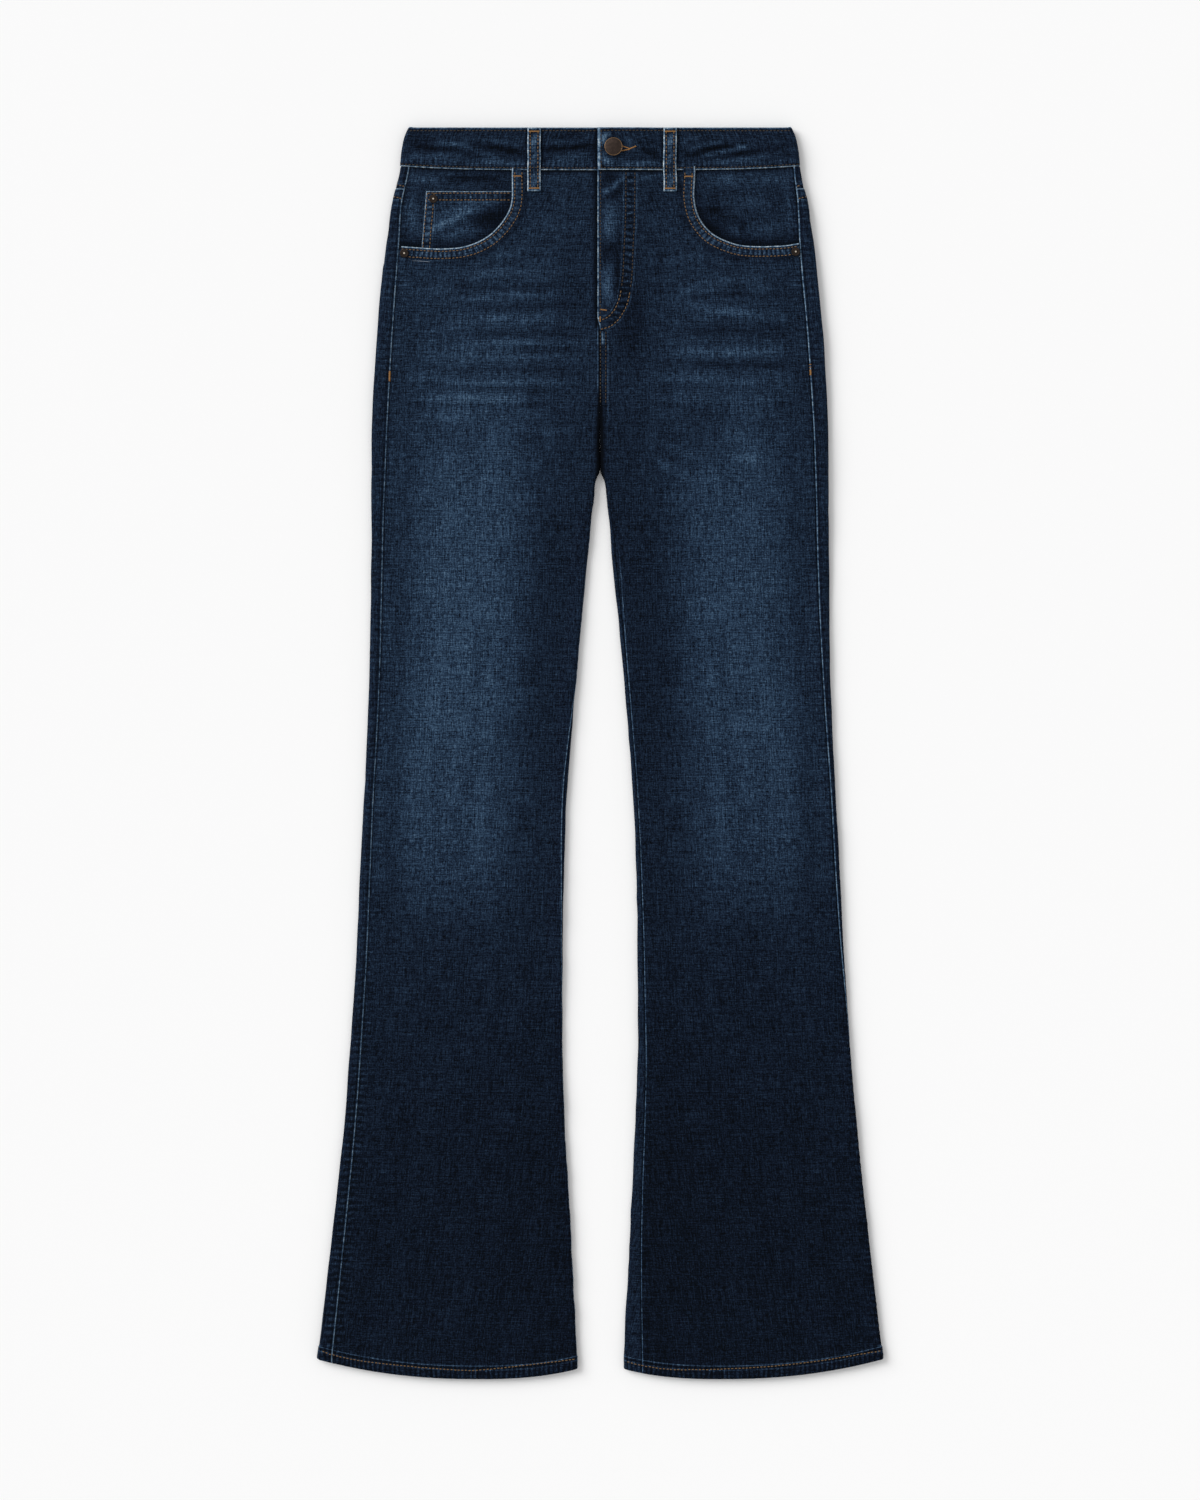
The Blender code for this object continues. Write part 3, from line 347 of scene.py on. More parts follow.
POCKET_STROKES = table(
    Stroke,
    (426, 236, 484, 207, 4.0, 35, -2), (438, 214, 476, 206, 2.4, 23), (440, 243, 480, 226, 5.0, 12),
    (470, 226, 508, 212, 8.0, -27), (446, 180, 510, 184, 3.0, -16, -2), (412, 186, 416, 240, 5.0, 12),
    (426, 190, 500, 187, 2.6, 12), (698, 209, 734, 213, 1.8, -27), (700, 228, 724, 232, 5.0, -20),
    (742, 222, 744, 240, 3.0, -16), (700, 184, 740, 182, 4.0, 10), (786, 176, 790, 240, 3.0, 12),
    (404, 179, 448, 185, 3.5, 16), (452, 180, 512, 177, 3.0, -13), (436, 189, 512, 189, 2.5, -12),
    (404, 196, 418, 244, 6.0, 12), (716, 180, 790, 184, 5.0, 13), (704, 214, 748, 226, 3.0, -14),
    (712, 206, 776, 204, 4.0, 10), (724, 236, 790, 226, 5.0, 10),
)
STROKE_RISE = 0.000028  # how far a stroke stands out of the cloth for each unit of its tone

# ---------------------------------------------------------------- the stage
FLOOR_DROP = 0.0002  # keeps the floor clear of the lowest thread
SKY, HORIZON = (0.60, 0.60, 0.60, 1.0), (0.93, 0.93, 0.93, 1.0)
LIGHT_WAY, LIGHT_STRENGTH, LIGHT_SPREAD = (0.80, -0.50, -0.58), 2.38, 38  # the spread is in degrees
FILM = 36.0  # the camera's height of film in millimetres


# ---------------------------------------------------------------- lines and hills
def ease(start, end, value):
    """0 up to start, 1 from end on, and a smooth step between."""
    share = np.clip((value - start) / (end - start), 0.0, 1.0)
    return share * share * (3 - 2 * share)


def hill(value, width):
    """1 at nothing, falling away smoothly over this width."""
    return np.exp(-((value / width) ** 2))


class Track:
    """A column of a table as a smooth function of the drop, level before the first row and after the last."""

    def __init__(self, rows, column):
        self.at = np.array([row.drop for row in rows])
        self.value = np.array([getattr(row, column) for row in rows], float)
        self.slope = np.gradient(self.value, self.at)
        steps = np.diff(self.value)
        self.slope[1:-1][steps[:-1] * steps[1:] <= 0] = 0

    def __call__(self, drop):
        drop = np.asarray(drop, float)
        row = np.clip(np.searchsorted(self.at, drop) - 1, 0, len(self.at) - 2)
        span = self.at[row + 1] - self.at[row]
        share = np.clip((drop - self.at[row]) / span, 0.0, 1.0)
        bend = share * (1 - share) * span
        level = share * share * (3 - 2 * share)
        rise = bend * ((1 - share) * self.slope[row] - share * self.slope[row + 1])
        return self.value[row] + (self.value[row + 1] - self.value[row]) * level + rise


def smooth_line(marks, steps=MOUTH_STEPS):
    """Points along a smooth curve through the marks."""
    points = np.array(marks, float)
    slope = np.gradient(points, axis=0)
    share = (np.arange(steps) / steps)[:, None]
    level = share * share * (3 - 2 * share)
    line = []
    for start, end, leave, arrive in zip(points, points[1:], slope, slope[1:]):
        bend = share * (1 - share) * ((1 - share) * leave - share * arrive)
        line.append(start + (end - start) * level + bend)
    return np.vstack((*line, points[-1:]))


def apart_from(line, x, y):
    """The signed distance of places from a line of points: its sign is that of a turn from the line's way."""
    line = np.asarray(line, float)
    run = np.diff(line, axis=0)
    offset = np.stack(np.broadcast_arrays(x, y), -1)[..., None, :] - line[:-1]
    share = np.clip((offset * run).sum(-1) / (run * run).sum(-1), 0, 1)
    away = offset - run * share[..., None]
    distance = np.hypot(away[..., 0], away[..., 1])
    nearest = distance.argmin(-1)[..., None]
    turn = run[:, 0] * offset[..., 1] - run[:, 1] * offset[..., 0]
    turn = np.take_along_axis(turn, nearest, -1)[..., 0]
    return np.copysign(np.take_along_axis(distance, nearest, -1)[..., 0], turn)


def along(inset, radius):
    """The distance along the cloth from the edge of a fold to a seam that is seen this far inside it."""
    inset = np.maximum(inset, 0.0)
    turned = radius * np.arccos(np.clip((radius - inset) / radius, -1, 1))
    return np.where(inset >= radius, inset - radius + math.pi * radius / 2, turned)


def seat_base(drop):
    """How high the cloth's underside lies: the seat rests on the back pockets."""
    return SEAT_LIFT * (1 - ease(SEAT_END, LEG_START, drop))


class Cut:
    """Cross-sections of one leg, or of one half of the garment above the crotch, at an array of drops."""

    def __init__(self, leg, drop, proud=0.0):
        self.outer = leg.outer(drop)
        self.inner = np.maximum(leg.inner(drop), CENTRE_GAP)
        self.radius = (HEIGHT + proud) / 2
        self.middle = seat_base(drop) + self.radius
        self.roll = {
            1: math.pi / 2 * ease(SLIT_START, CROTCH, drop),
            -1: math.pi / 2 * ease(SEAT_END, CROTCH, drop),
        }
        self.edge = {1: leg.front_edge(drop), -1: self.inner}
        self.turn = math.pi * self.radius / 2
        self.outseam = along(leg.outseam(drop), self.radius)
        self.inseam = along(leg.inseam(drop), self.radius)

    def flat(self, side):
        centre = self.edge[side] + self.radius * np.sin(self.roll[side])
        return self.outer - self.radius - centre

    def half(self, side):
        """The walk from the outer fold to the centre, or to the inner fold."""
        return self.turn + self.flat(side) + self.radius * self.roll[side]

    def centre_gap(self, side):
        return CENTRE_GAP * np.sin(self.roll[side])

    def point(self, walk, rise=0.0):
        """(across, height) at these walks, this far out of the cloth."""
        past = walk < -self.half(-1) - TINY
        walk = np.where(past, walk + self.half(-1) + self.half(1), walk)
        side = np.where(walk >= 0, 1.0, -1.0)
        distance = np.abs(walk)
        reach = self.radius + rise
        flat = np.where(side > 0, self.flat(1), self.flat(-1))
        outer = np.clip(distance / self.radius, 0, math.pi / 2)
        level = np.clip(distance - self.turn, 0, flat)
        inner = np.clip((distance - self.turn - flat) / self.radius, 0, math.pi)
        across = self.outer - self.radius + reach * np.cos(outer) - level - reach * np.sin(inner)
        return across, self.middle + side * reach * np.sin(outer) * np.cos(inner)


class Leg:
    """One side of the garment: its sign along X, its tables, and the lines that its pieces follow."""

    def __init__(self, sign, seams, mouth, edge_in_fly, fly_close):
        self.sign = sign
        self.outer = Track(OUTLINE, "outer")
        self.inner = Track(OUTLINE, "inner")
        self.outseam = Track(seams, "outseam")
        self.inseam = Track(seams, "inseam")
        self.mouth = smooth_line(mouth)
        self.edge_in_fly = edge_in_fly
        self.fly_close = fly_close
        self.side = "right" if sign < 0 else "left"

    def front_edge(self, drop):
        inner = np.maximum(self.inner(drop), CENTRE_GAP)
        return self.edge_in_fly + (inner - self.edge_in_fly) * ease(*self.fly_close, drop)

    def mouth_distance(self, across, drop):
        """The distance from the pocket mouth, positive on the front panel's side of it."""
        start = self.mouth[0] - (0, MOUTH_REACH)
        end = self.mouth[-1] + (MOUTH_REACH, 0)
        return apart_from(np.vstack((start, self.mouth, end)), across, drop)

    def facing_sink(self, mouth):
        return STEP * ease(FACING_SINK, FACING_SUNK, mouth)

    def front_lift(self, across, drop, mouth):
        """How far the front panel stands up, over the facing and, in the fly, over its other side."""
        lift = STEP - self.facing_sink(mouth)
        if self.sign < 0:
            near = 1 - ease(COIN_FADE_START, COIN_FADE_END, mouth)
            return lift + COIN_ROOM * near * ease(COIN_TOP - 0.009, COIN_TOP - 0.002, drop)
        over = 1 - ease(FLY_WIDTH, FLY_FADE_WIDTH, across)
        return lift + STEP * over * (1 - ease(FLY_END, FLY_FADE_END, drop))

    def tone(self, across, drop):
        """How light the worn denim is."""
        inner = np.maximum(self.inner(drop), 0.0)
        share = (self.outer(drop) - across) / (self.outer(drop) - inner)
        rows = [Track(TONES, column)(drop) for column in ("outer", "inner", "patch")]
        ground = rows[0] + (rows[1] - rows[0]) * ease(0.45, 1.0, share)
        worn = ground + rows[2] * ease(*PATCH_START, share) * (1 - ease(*PATCH_END, share))
        return worn * (RIGHT_TONE_SCALE if self.sign < 0 else LEFT_TONE_SCALE)

    def spot(self, across, drop, height):
        return np.stack(np.broadcast_arrays(self.sign * across, TOP - drop, height), -1)


RIGHT = Leg(-1, RIGHT_SEAMS, RIGHT_MOUTH, -FLY_TUCK, (0.1740, FLY_END))
LEFT = Leg(1, LEFT_SEAMS, LEFT_MOUTH, -FLY_EDGE, (0.1795, 0.1905))
LEGS = (RIGHT, LEFT)


def band_line(across):
    """The drop of the waistband's lower edge, which rises toward the folds."""
    return BAND_DEPTH - BAND_RISE * (np.abs(across) / BAND_FOLD) ** 4


def hem_sag(leg, across):
    """How far the hem's edge is above its lowest point."""
    inner, outer = leg.inner(LENGTH), leg.outer(LENGTH)
    share = np.clip((across - inner) / (outer - inner), 0.0, 1.0)
    toward_inner = np.clip((HEM_SAG_PEAK - share) / HEM_SAG_PEAK, 0, 1)
    toward_outer = np.clip((share - HEM_SAG_PEAK) / (1 - HEM_SAG_PEAK), 0, 1)
    rise = HEM_SAG_INNER * toward_inner ** HEM_SAG_POWERS[0]
    return rise + HEM_SAG_OUTER * toward_outer ** HEM_SAG_POWERS[1]


def warp(leg, row, across):
    """What a row's drop gains at this across, so that the rows follow the waist's line and the hem's."""
    waist = (band_line(across) - BAND_DEPTH) * (1 - ease(BAND_DEPTH, BAND_DEPTH + FADE_DEPTH, row))
    return waist - hem_sag(leg, across) * ease(LENGTH - FADE_DEPTH, LENGTH - 1.2 * HEM_DEPTH, row)


def ripples(seed, across, drop, length, stretch=1.0, count=9):
    """Smooth random hills of about this length, mostly between -1 and 1."""
    draw = np.random.default_rng(seed)
    total = 0.0
    for _ in range(count):
        angle, phase = draw.uniform(0, 2 * math.pi, 2)
        turns = 2 * math.pi / (length * draw.uniform(0.6, 1.5))
        slant = across * math.cos(angle) + drop * math.sin(angle) / stretch
        total = total + np.sin(turns * slant + phase)
    return total / math.sqrt(count)


def picture_place(sign, across, drop):
    """The pixel of the photograph that shows a place."""
    return PIXEL_CENTRE + sign * across / PIXEL, PIXEL_TOP + drop / PIXEL


def strokes(table, x, y):
    """What the strokes of a table add up to at these pixels."""
    total = np.zeros(np.broadcast(x, y).shape)
    for stroke in table:
        run = np.array((stroke.x_end - stroke.x, stroke.y_end - stroke.y))
        length = np.hypot(*run)
        run = run / length
        share = np.clip(((x - stroke.x) * run[0] + (y - stroke.y) * run[1]) / length, 0, 1)
        arch = np.sin(math.pi * share)
        apart = (y - stroke.y) * run[0] - (x - stroke.x) * run[1] - stroke.bow * arch
        total += stroke.tone * arch**0.6 * hill(apart, stroke.width)
    return total


def puckers(seed, travel, apart, pitch, reach):
    """The little gathers beside a sewn seam, mostly between -1 and 1."""
    wander = ripples(seed, travel, travel * 0, pitch * 5, count=4)
    return np.sin(2 * math.pi * travel / pitch + 1.6 * wander) * hill(apart, reach)


def edge_turn(apart, deep=0.00042, reach=0.0013):
    """How far a cloth edge turns in, from the distance to it."""
    return -deep * np.clip(1 - apart / reach, 0, 1) ** 2


def column_plan(longest, step):
    """The fixed and the shared part of each column's distance from the first edge, closest beside both."""
    count = max(int(round((longest - 2 * EDGE_STEPS[-1]) / step)), 2)
    share = np.linspace(0, 1, count + 1)[1:-1]
    fixed = np.concatenate((EDGE_STEPS, EDGE_STEPS[-1] * (1 - 2 * share), -EDGE_STEPS[::-1]))
    shared = np.concatenate((0 * EDGE_STEPS, share, 1 + 0 * EDGE_STEPS))
    return fixed, shared


def crowded(start, end, step=COLUMN_STEP, plan=None):
    """Walks from one edge of a panel to the other along the last axis."""
    span = np.abs(end - start)
    fixed, shared = plan or column_plan(float(np.max(span)), step)
    return start + np.sign(end - start) * (fixed + shared * span)


def crowded_rows(start, end, step=ROW_STEP, extra=()):
    """A column of drops from one to the other, crowded toward both."""
    rows = crowded(np.array([start]), np.array([end]), step)
    return np.sort(np.concatenate((rows, extra)))[:, None]


# ---------------------------------------------------------------- meshes
def kept_cells(shape, keep):
    return np.ones((shape[0] - 1, shape[1] - 1), bool) if keep is None else keep


def corners_of(points):
    """What is known of each point of a grid, at the four corners of each cell."""
    return points[:-1, :-1], points[1:, :-1], points[:-1, 1:], points[1:, 1:]


def placed(name, data):
    """A new object in the scene."""
    made = bpy.data.objects.new(name, data)
    bpy.context.scene.collection.objects.link(made)
    return made


def link(name, mesh, materials):
    """An object in the scene from its mesh, smooth but for its sharp corners, and riding on the body."""
    mesh.update()
    mesh.validate()
    for material in materials:
        mesh.materials.append(material)
    mesh.shade_smooth()
    mesh.set_sharp_from_angle(angle=math.radians(SHARP_CORNER))
    made = placed(name, mesh)
    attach(made, BODY)
    return made


def set_marks(mesh, marks):
    for name, values in marks.items():
        attribute = mesh.attributes.new(name, "FLOAT_VECTOR", "POINT")
        attribute.data.foreach_set("vector", np.ascontiguousarray(values, np.float32).ravel())


def cloth_wall(name, outer, inner, marks, materials, keep=None):
    """A piece of cloth between two grids of points, with a rim round what is kept of their cells."""
    rows, columns = outer.shape[:2]
    keep = kept_cells(outer.shape, keep)
    index = np.arange(rows * columns).reshape(rows, columns)
    below = rows * columns
    corners = np.stack((index[:-1, :-1], index[:-1, 1:], index[1:, 1:], index[1:, :-1]), -1)
    front = corners[keep]
    behind = front[:, ::-1] + below
    padded = np.pad(keep, 1)
    rims = []
    for shift, ends in (((0, 1), (0, 1)), ((1, 2), (1, 2)), ((2, 1), (2, 3)), ((1, 0), (3, 0))):
        beyond = padded[shift[0] : shift[0] + rows - 1, shift[1] : shift[1] + columns - 1]
        near, far = corners[keep & ~beyond][:, list(ends)].T
        rims.append(np.stack((far, near, near + below, far + below), -1))
    faces = np.concatenate((front, behind, *rims))
    slots = np.concatenate((np.zeros(len(front)), np.ones(len(behind)), np.zeros(sum(map(len, rims)))))
    points = np.concatenate((outer.reshape(-1, 3), inner.reshape(-1, 3)))

    sample = points[front]
    normals = np.cross(sample[:, 2] - sample[:, 0], sample[:, 3] - sample[:, 1])
    outward = sample.mean(1) - points[front + below].mean(1)
    if (normals * outward).sum() < 0:
        faces = faces[:, ::-1]

    used, compact = np.unique(faces, return_inverse=True)
    mesh = bpy.data.meshes.new(name)
    mesh.from_pydata(points[used].tolist(), [], compact.reshape(-1, 4).tolist())
    mesh.polygons.foreach_set("material_index", slots.astype(np.int32))
    both = {key: np.concatenate([value.reshape(-1, 3)] * 2)[used] for key, value in marks.items()}
    set_marks(mesh, both)
    return link(name, mesh, materials)


def tube(name, rings, marks, materials, closed=True):
    """A solid through closed rings of points, capped at its two ends."""
    stations, count = rings.shape[:2]
    index = np.arange(stations * count).reshape(stations, count)
    around = np.roll(index, -1, axis=1)
    faces = np.stack((index[:-1], around[:-1], around[1:], index[1:]), -1).reshape(-1, 4).tolist()
    if closed:
        faces += [index[0, ::-1].tolist(), index[-1].tolist()]
    mesh = bpy.data.meshes.new(name)
    mesh.from_pydata(rings.reshape(-1, 3).tolist(), [], faces)
    set_marks(mesh, {key: value.reshape(-1, 3) for key, value in marks.items()})
    made = link(name, mesh, materials)
    if signed_volume(mesh) < 0:
        mesh.flip_normals()
    return made


def signed_volume(mesh):
    mesh.calc_loop_triangles()
    triangles = np.empty(len(mesh.loop_triangles) * 3, np.int32)
    mesh.loop_triangles.foreach_get("vertices", triangles)
    points = np.empty(len(mesh.vertices) * 3)
    mesh.vertices.foreach_get("co", points)
    corners = points.reshape(-1, 3)[triangles.reshape(-1, 3)]
    return float(np.linalg.det(corners).sum() / 6)


def circles(at, radius, height, steps):
    """Rings of points about an upright line through a place, one for each radius and height."""
    angle = np.linspace(0, 2 * math.pi, steps, endpoint=False)
    x = at[0] + radius[:, None] * np.cos(angle)
    y = at[1] + radius[:, None] * np.sin(angle)
    return np.stack((x, y, at[2] + height[:, None] + 0 * x), -1)


def turned(name, profile, at, material, steps):
    """A profile of (radius, height) points turned about Z at a place, from its rim to its middle."""
    rings = circles(at, *np.array(profile).T, steps)
    return tube(name, rings, {"cloth": rings - at}, [material])


def stands_in(piece, node):
    """A piece that takes the place of a solid."""
    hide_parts(node)


def marks_of(walk, drop, tone, light=99.0, dark=99.0, side=0.0, level=0.0, shade=1.0, row=99.0, half=0.0):
    """What the denim material reads at each point: its place on the cloth, its wear, its gathers and its
    painted shade.

    Light and dark are distances in millimetres from a worn line and from a dark line beside a seam, which is
    partly dye that the seam kept and partly painted shade. Shade is painted shade: a factor that darkens the
    colour under laps, beside the pocket mouths and in creases. Row is the signed distance from the middle of
    a double row of sewing, in millimetres, and half is half their spacing.
    """
    groups = {
        "cloth": (walk, drop, 0.0),
        "wear": (tone / 255, light, dark),
        "work": (side, level, shade),
        "rows": (row, half, 0.0),
    }
    none = np.zeros(np.shape(tone))
    return {name: np.stack([value + none for value in values], -1) for name, values in groups.items()}


# ---------------------------------------------------------------- materials
def operator_pair(operation):
    """An operator of Wire that adds a math node, and its reflected form."""

    def forward(self, other):
        return self.math(operation, self, other)

    def reflected(self, other):
        return self.math(operation, other, self)

    return forward, reflected


class Wire:
    """A socket of a material's nodes. An expression on it adds the nodes that work it out."""

    def __init__(self, tree, socket=None):
        self.tree = tree
        self.socket = socket

    def add(self, kind, settings=None, inputs=None, output=0):
        """A node of this kind: its settings first, then the values or links of its sockets."""
        node = self.tree.nodes.new(kind)
        for name, value in (settings or {}).items():
            if name == "stops":
                set_stops(node.color_ramp, value)
            else:
                setattr(node, name, value)
        for name, value in (inputs or {}).items():
            if isinstance(value, Wire):
                self.tree.links.new(value.socket, node.inputs[name])
            else:
                node.inputs[name].default_value = value
        return Wire(self.tree, node.outputs[output])

    def math(self, operation, *values):
        return self.add("ShaderNodeMath", {"operation": operation}, dict(enumerate(values)))

    __add__, __radd__ = operator_pair("ADD")
    __sub__, __rsub__ = operator_pair("SUBTRACT")
    __mul__, __rmul__ = operator_pair("MULTIPLY")
    __truediv__, __rtruediv__ = operator_pair("DIVIDE")

    def at_least(self, floor):
        return self.math("MAXIMUM", self, floor)

    def at_most(self, ceiling):
        return self.math("MINIMUM", self, ceiling)

    def sine(self):
        return self.math("SINE", self)

    def size(self):
        return self.math("ABSOLUTE", self)

    def fall(self, width):
        """1 at nothing and 0 from this width on, for a distance."""
        left = (1 - self / width).at_least(0.0)
        return left * left

    def line(self, width, soft):
        """1 up to this distance and 0 from soft further on."""
        return ((width + soft - self) / soft).at_least(0.0).at_most(1.0)

    def mix(self, low, high):
        """One colour where this is 0, the other where it is 1."""
        return self.add("ShaderNodeMix", {"data_type": "RGBA"}, {"Factor": self, 6: low, 7: high}, 2)

    def part(self, name):
        """One of a vector's three numbers."""
        return self.add("ShaderNodeSeparateXYZ", {}, {"Vector": self}, name)

    def scaled(self, *factors):
        inputs = {0: self, 1: factors}
        return self.add("ShaderNodeVectorMath", {"operation": "MULTIPLY"}, inputs)

    def noise(self, scale, detail, roughness):
        inputs = {"Vector": self, "Scale": scale, "Detail": detail, "Roughness": roughness}
        return self.add("ShaderNodeTexNoise", {"noise_dimensions": "3D"}, inputs)

    def mark(self, name):
        """A mark that the mesh carries."""
        settings = {"attribute_type": "GEOMETRY", "attribute_name": name}
        return self.add("ShaderNodeAttribute", settings, {}, "Vector")


def set_stops(ramp, stops):
    while len(ramp.elements) > 1:
        ramp.elements.remove(ramp.elements[-1])
    ramp.elements[0].position, ramp.elements[0].color = stops[0]
    for position, colour in stops[1:]:
        ramp.elements.new(position).color = colour


def linear(colour):
    """A colour for a socket from the numbers of 0 to 255 that a picture shows."""

    def one(value):
        value /= 255
        return value / 12.92 if value <= 0.04045 else ((value + 0.055) / 1.055) ** 2.4

    return *(one(value) for value in colour), 1.0


def chosen(colour, share=1.0):
    """A colour property for a socket, or this share of its light."""
    base = linear([round(255 * value) for value in colour])
    return *(share * value for value in base[:3]), 1.0


# What the dye looks like at each lightness of the wear
DYE = (
    (0, (2, 4, 9)), (12, (5, 11, 20)), (22, (11, 20, 35)), (41, (26, 40, 58)),
    (58, (39, 58, 80)), (85, (64, 88, 112)), (130, (112, 134, 152)), (200, (185, 198, 206)),
)
BARE_BLUE = (96, 110, 128)  # the dye that shows between the reverse's white threads


def new_material(name, roughness, specular=0.5, metallic=0.0):
    material = bpy.data.materials.new(name)
    material.use_nodes = True
    shader = material.node_tree.nodes["Principled BSDF"]
    shader.inputs["Roughness"].default_value = roughness
    shader.inputs["Specular IOR Level"].default_value = specular
    shader.inputs["Metallic"].default_value = metallic
    return material, shader, Wire(material.node_tree)


def plug(node, name, wire):
    wire.tree.links.new(wire.socket, node.inputs[name])


def bump(start, height, strength, distance):
    inputs = {"Height": height, "Strength": strength, "Distance": distance}
    return start.add("ShaderNodeBump", {}, inputs, "Normal")


def denim_material(colours):
    """Indigo twill: slub along and across, speckle, worn lines, gathers, dye left in the seams, and painted
    shade beside the seams, under laps and in creases.
    """
    material, shader, start = new_material("worn denim", 0.92, 0.06)
    cloth, wear, work, rows = (start.mark(name) for name in ("cloth", "wear", "work", "rows"))
    tone, light, dark = (wear.part(axis) for axis in "XYZ")
    side, level, shade = (work.part(axis) for axis in "XYZ")
    row, half = (rows.part(axis).size() for axis in "XY")

    upright_slub = cloth.scaled(900, 170, 1).noise(1.0, 2.0, 0.55)
    level_slub = cloth.scaled(170, 880, 1).noise(1.0, 2.0, 0.55)
    long_slub = cloth.scaled(900, 36, 1).noise(1.0, 1.0, 0.5)
    long_level = cloth.scaled(30, 900, 1).noise(1.0, 1.0, 0.5)
    speckle = cloth.scaled(760, 760, 1).noise(1.0, 1.0, 0.5)
    streak = cloth.scaled(75, 5, 1).noise(1.0, 3.0, 0.5)
    chip = cloth.scaled(230, 230, 1).noise(1.0, 2.0, 0.5)
    mottle = cloth.scaled(95, 95, 1).noise(1.0, 3.0, 0.6)
    cloud = cloth.scaled(16, 10, 1).noise(1.0, 3.0, 0.5)

    grain = (upright_slub - 0.5) * 1.5 + (level_slub - 0.5) * 1.3 + (speckle - 0.5) * 1.5
    grain = grain + (long_slub - 0.5) * 1.0 + (long_level - 0.5) * 0.9
    patches = (mottle - 0.5) * 0.3 + (cloud - 0.5) * 0.3 + (streak - 0.5) * 0.4
    value = tone * (1 + grain * 0.78 + patches) + grain * 0.075

    upright = cloth.part("Y") * (2 * math.pi / GATHER_PITCH) + mottle * 5.0 + cloud * 20.0
    across = cloth.part("X") * (2 * math.pi / LEVEL_GATHER_PITCH) + mottle * 5.0 + cloud * 20.0
    value = value * (1 + (side * upright.sine() + level * across.sine()) * (0.15 + mottle * 0.8))
    # Darker along each row of sewing, in the furrow it pulls: partly unworn dye, partly painted shade
    furrow = (row - half).size().fall(1.6)
    ridge = (row - half - 2.0).size().fall(1.3)
    value = value * (1 - furrow * 0.6) + ridge * (mottle * speckle) * 0.42
    # Dark lines beside the seams, partly kept dye and partly painted shade, then the painted shade factor
    value = value * (1 - dark.fall(2.6) * 0.65) * shade
    worn = light.line(0.15, 0.75) * (chip * 2.6 - 0.55).at_least(0.1).at_most(1.0) * (0.6 + speckle * 0.7)
    value = value + worn * colours.edge_wear
    ramp = [(place / 255, linear(dye)) for place, dye in DYE]
    colour = start.add("ShaderNodeValToRGB", {"stops": ramp}, {"Fac": value.at_least(0.0)}, "Color")
    plug(shader, "Base Color", colour)
    plug(shader, "Normal", bump(start, grain * 0.6 + speckle * 0.4, 0.35, 0.0004))
    return material


def reverse_material(colours):
    """The pale inside of the denim, with its white weft on show."""
    material, shader, start = new_material("denim reverse", 0.95, 0.06)
    cloth = start.mark("cloth")
    twill = (cloth.part("X") * 900 + cloth.part("Y") * 900).sine() * 0.5 + 0.5
    slub = cloth.scaled(300, 60, 1).noise(1.0, 2.0, 0.6)
    woven = twill * 0.4 + slub * 0.6
    plug(shader, "Base Color", woven.mix(linear(BARE_BLUE), chosen(colours.reverse)))
    plug(shader, "Normal", bump(start, twill * 0.5 + slub, 0.3, 0.0003))
    return material


def thread_material(name, colour):
    """Twisted sewing thread, with painted shade between its turns and a little uneven in its dye."""
    material, shader, start = new_material(name, 0.7, 0.2)
    cloth = start.mark("cloth")
    twist = (cloth.part("X") * (2 * math.pi / 0.0009)).sine() * 0.5 + 0.5
    uneven = cloth.scaled(400, 400, 400).noise(1.0, 2.0, 0.5)
    # A darker copy of the colour mixed in: uneven dye, and painted shade between the turns
    lit = (0.35 + uneven * 0.6 + twist * 0.25).at_most(1.0)
    plug(shader, "Base Color", lit.mix(chosen(colour, 0.35), chosen(colour)))
    plug(shader, "Normal", bump(start, twist, 0.4, 0.0001))
    return material


def metal_material(name, colour, roughness, centre=None):
    """Aged plated metal: tarnish in patches, rubbed places and, on a rivet, a painted highlight in its
    middle.
    """
    material, shader, start = new_material(name, roughness, 0.5, 0.85)
    place = start.mark("cloth")
    tarnish = place.noise(320.0, 4.0, 0.6)
    scratch = place.scaled(1, 9, 1).noise(500.0, 2.0, 0.5)
    rub = (tarnish * 1.4 - 0.25 + (scratch - 0.5) * 0.5).at_least(0.0).at_most(1.0)
    mixed = rub.mix(chosen(colour, 0.4), chosen(colour))
    # On a rivet, a bright disc in the middle is a painted highlight
    if centre:
        flat = place.scaled(1, 1, 0)
        away = flat.add("ShaderNodeVectorMath", {"operation": "LENGTH"}, {0: flat}, "Value") / MM
        mixed = away.line(0.5, 0.5).mix(mixed, chosen(centre))
    plug(shader, "Base Color", mixed)
    plug(shader, "Roughness", roughness + (1 - rub) * 0.25)
    plug(shader, "Normal", bump(start, tarnish + scratch * 0.4, 0.15, 0.0002))
    return material


def floor_material(colour):
    """Matt white card, a little uneven."""
    material, shader, start = new_material("studio floor", 0.9, 0.1)
    soft = start.add("ShaderNodeTexCoord", {}, {}, "Object").noise(0.6, 1.0, 0.5)
    plug(shader, "Base Color", soft.mix(chosen(colour, 0.985), chosen(colour)))
    return material


def ready(name, maker, *details):
    """The material of this name, made by its maker the first time."""
    return bpy.data.materials.get(name) or maker(*details)


def cloth_materials(context):
    colours = context.scene.jeans_colours
    return [
        ready("worn denim", denim_material, colours),
        ready("denim reverse", reverse_material, colours),
    ]


# ---------------------------------------------------------------- panels
def plan_for(leg, rows, reach):
    start, end = reach(Cut(leg, rows))
    return column_plan(float(np.abs(end - start).max()), COLUMN_STEP)


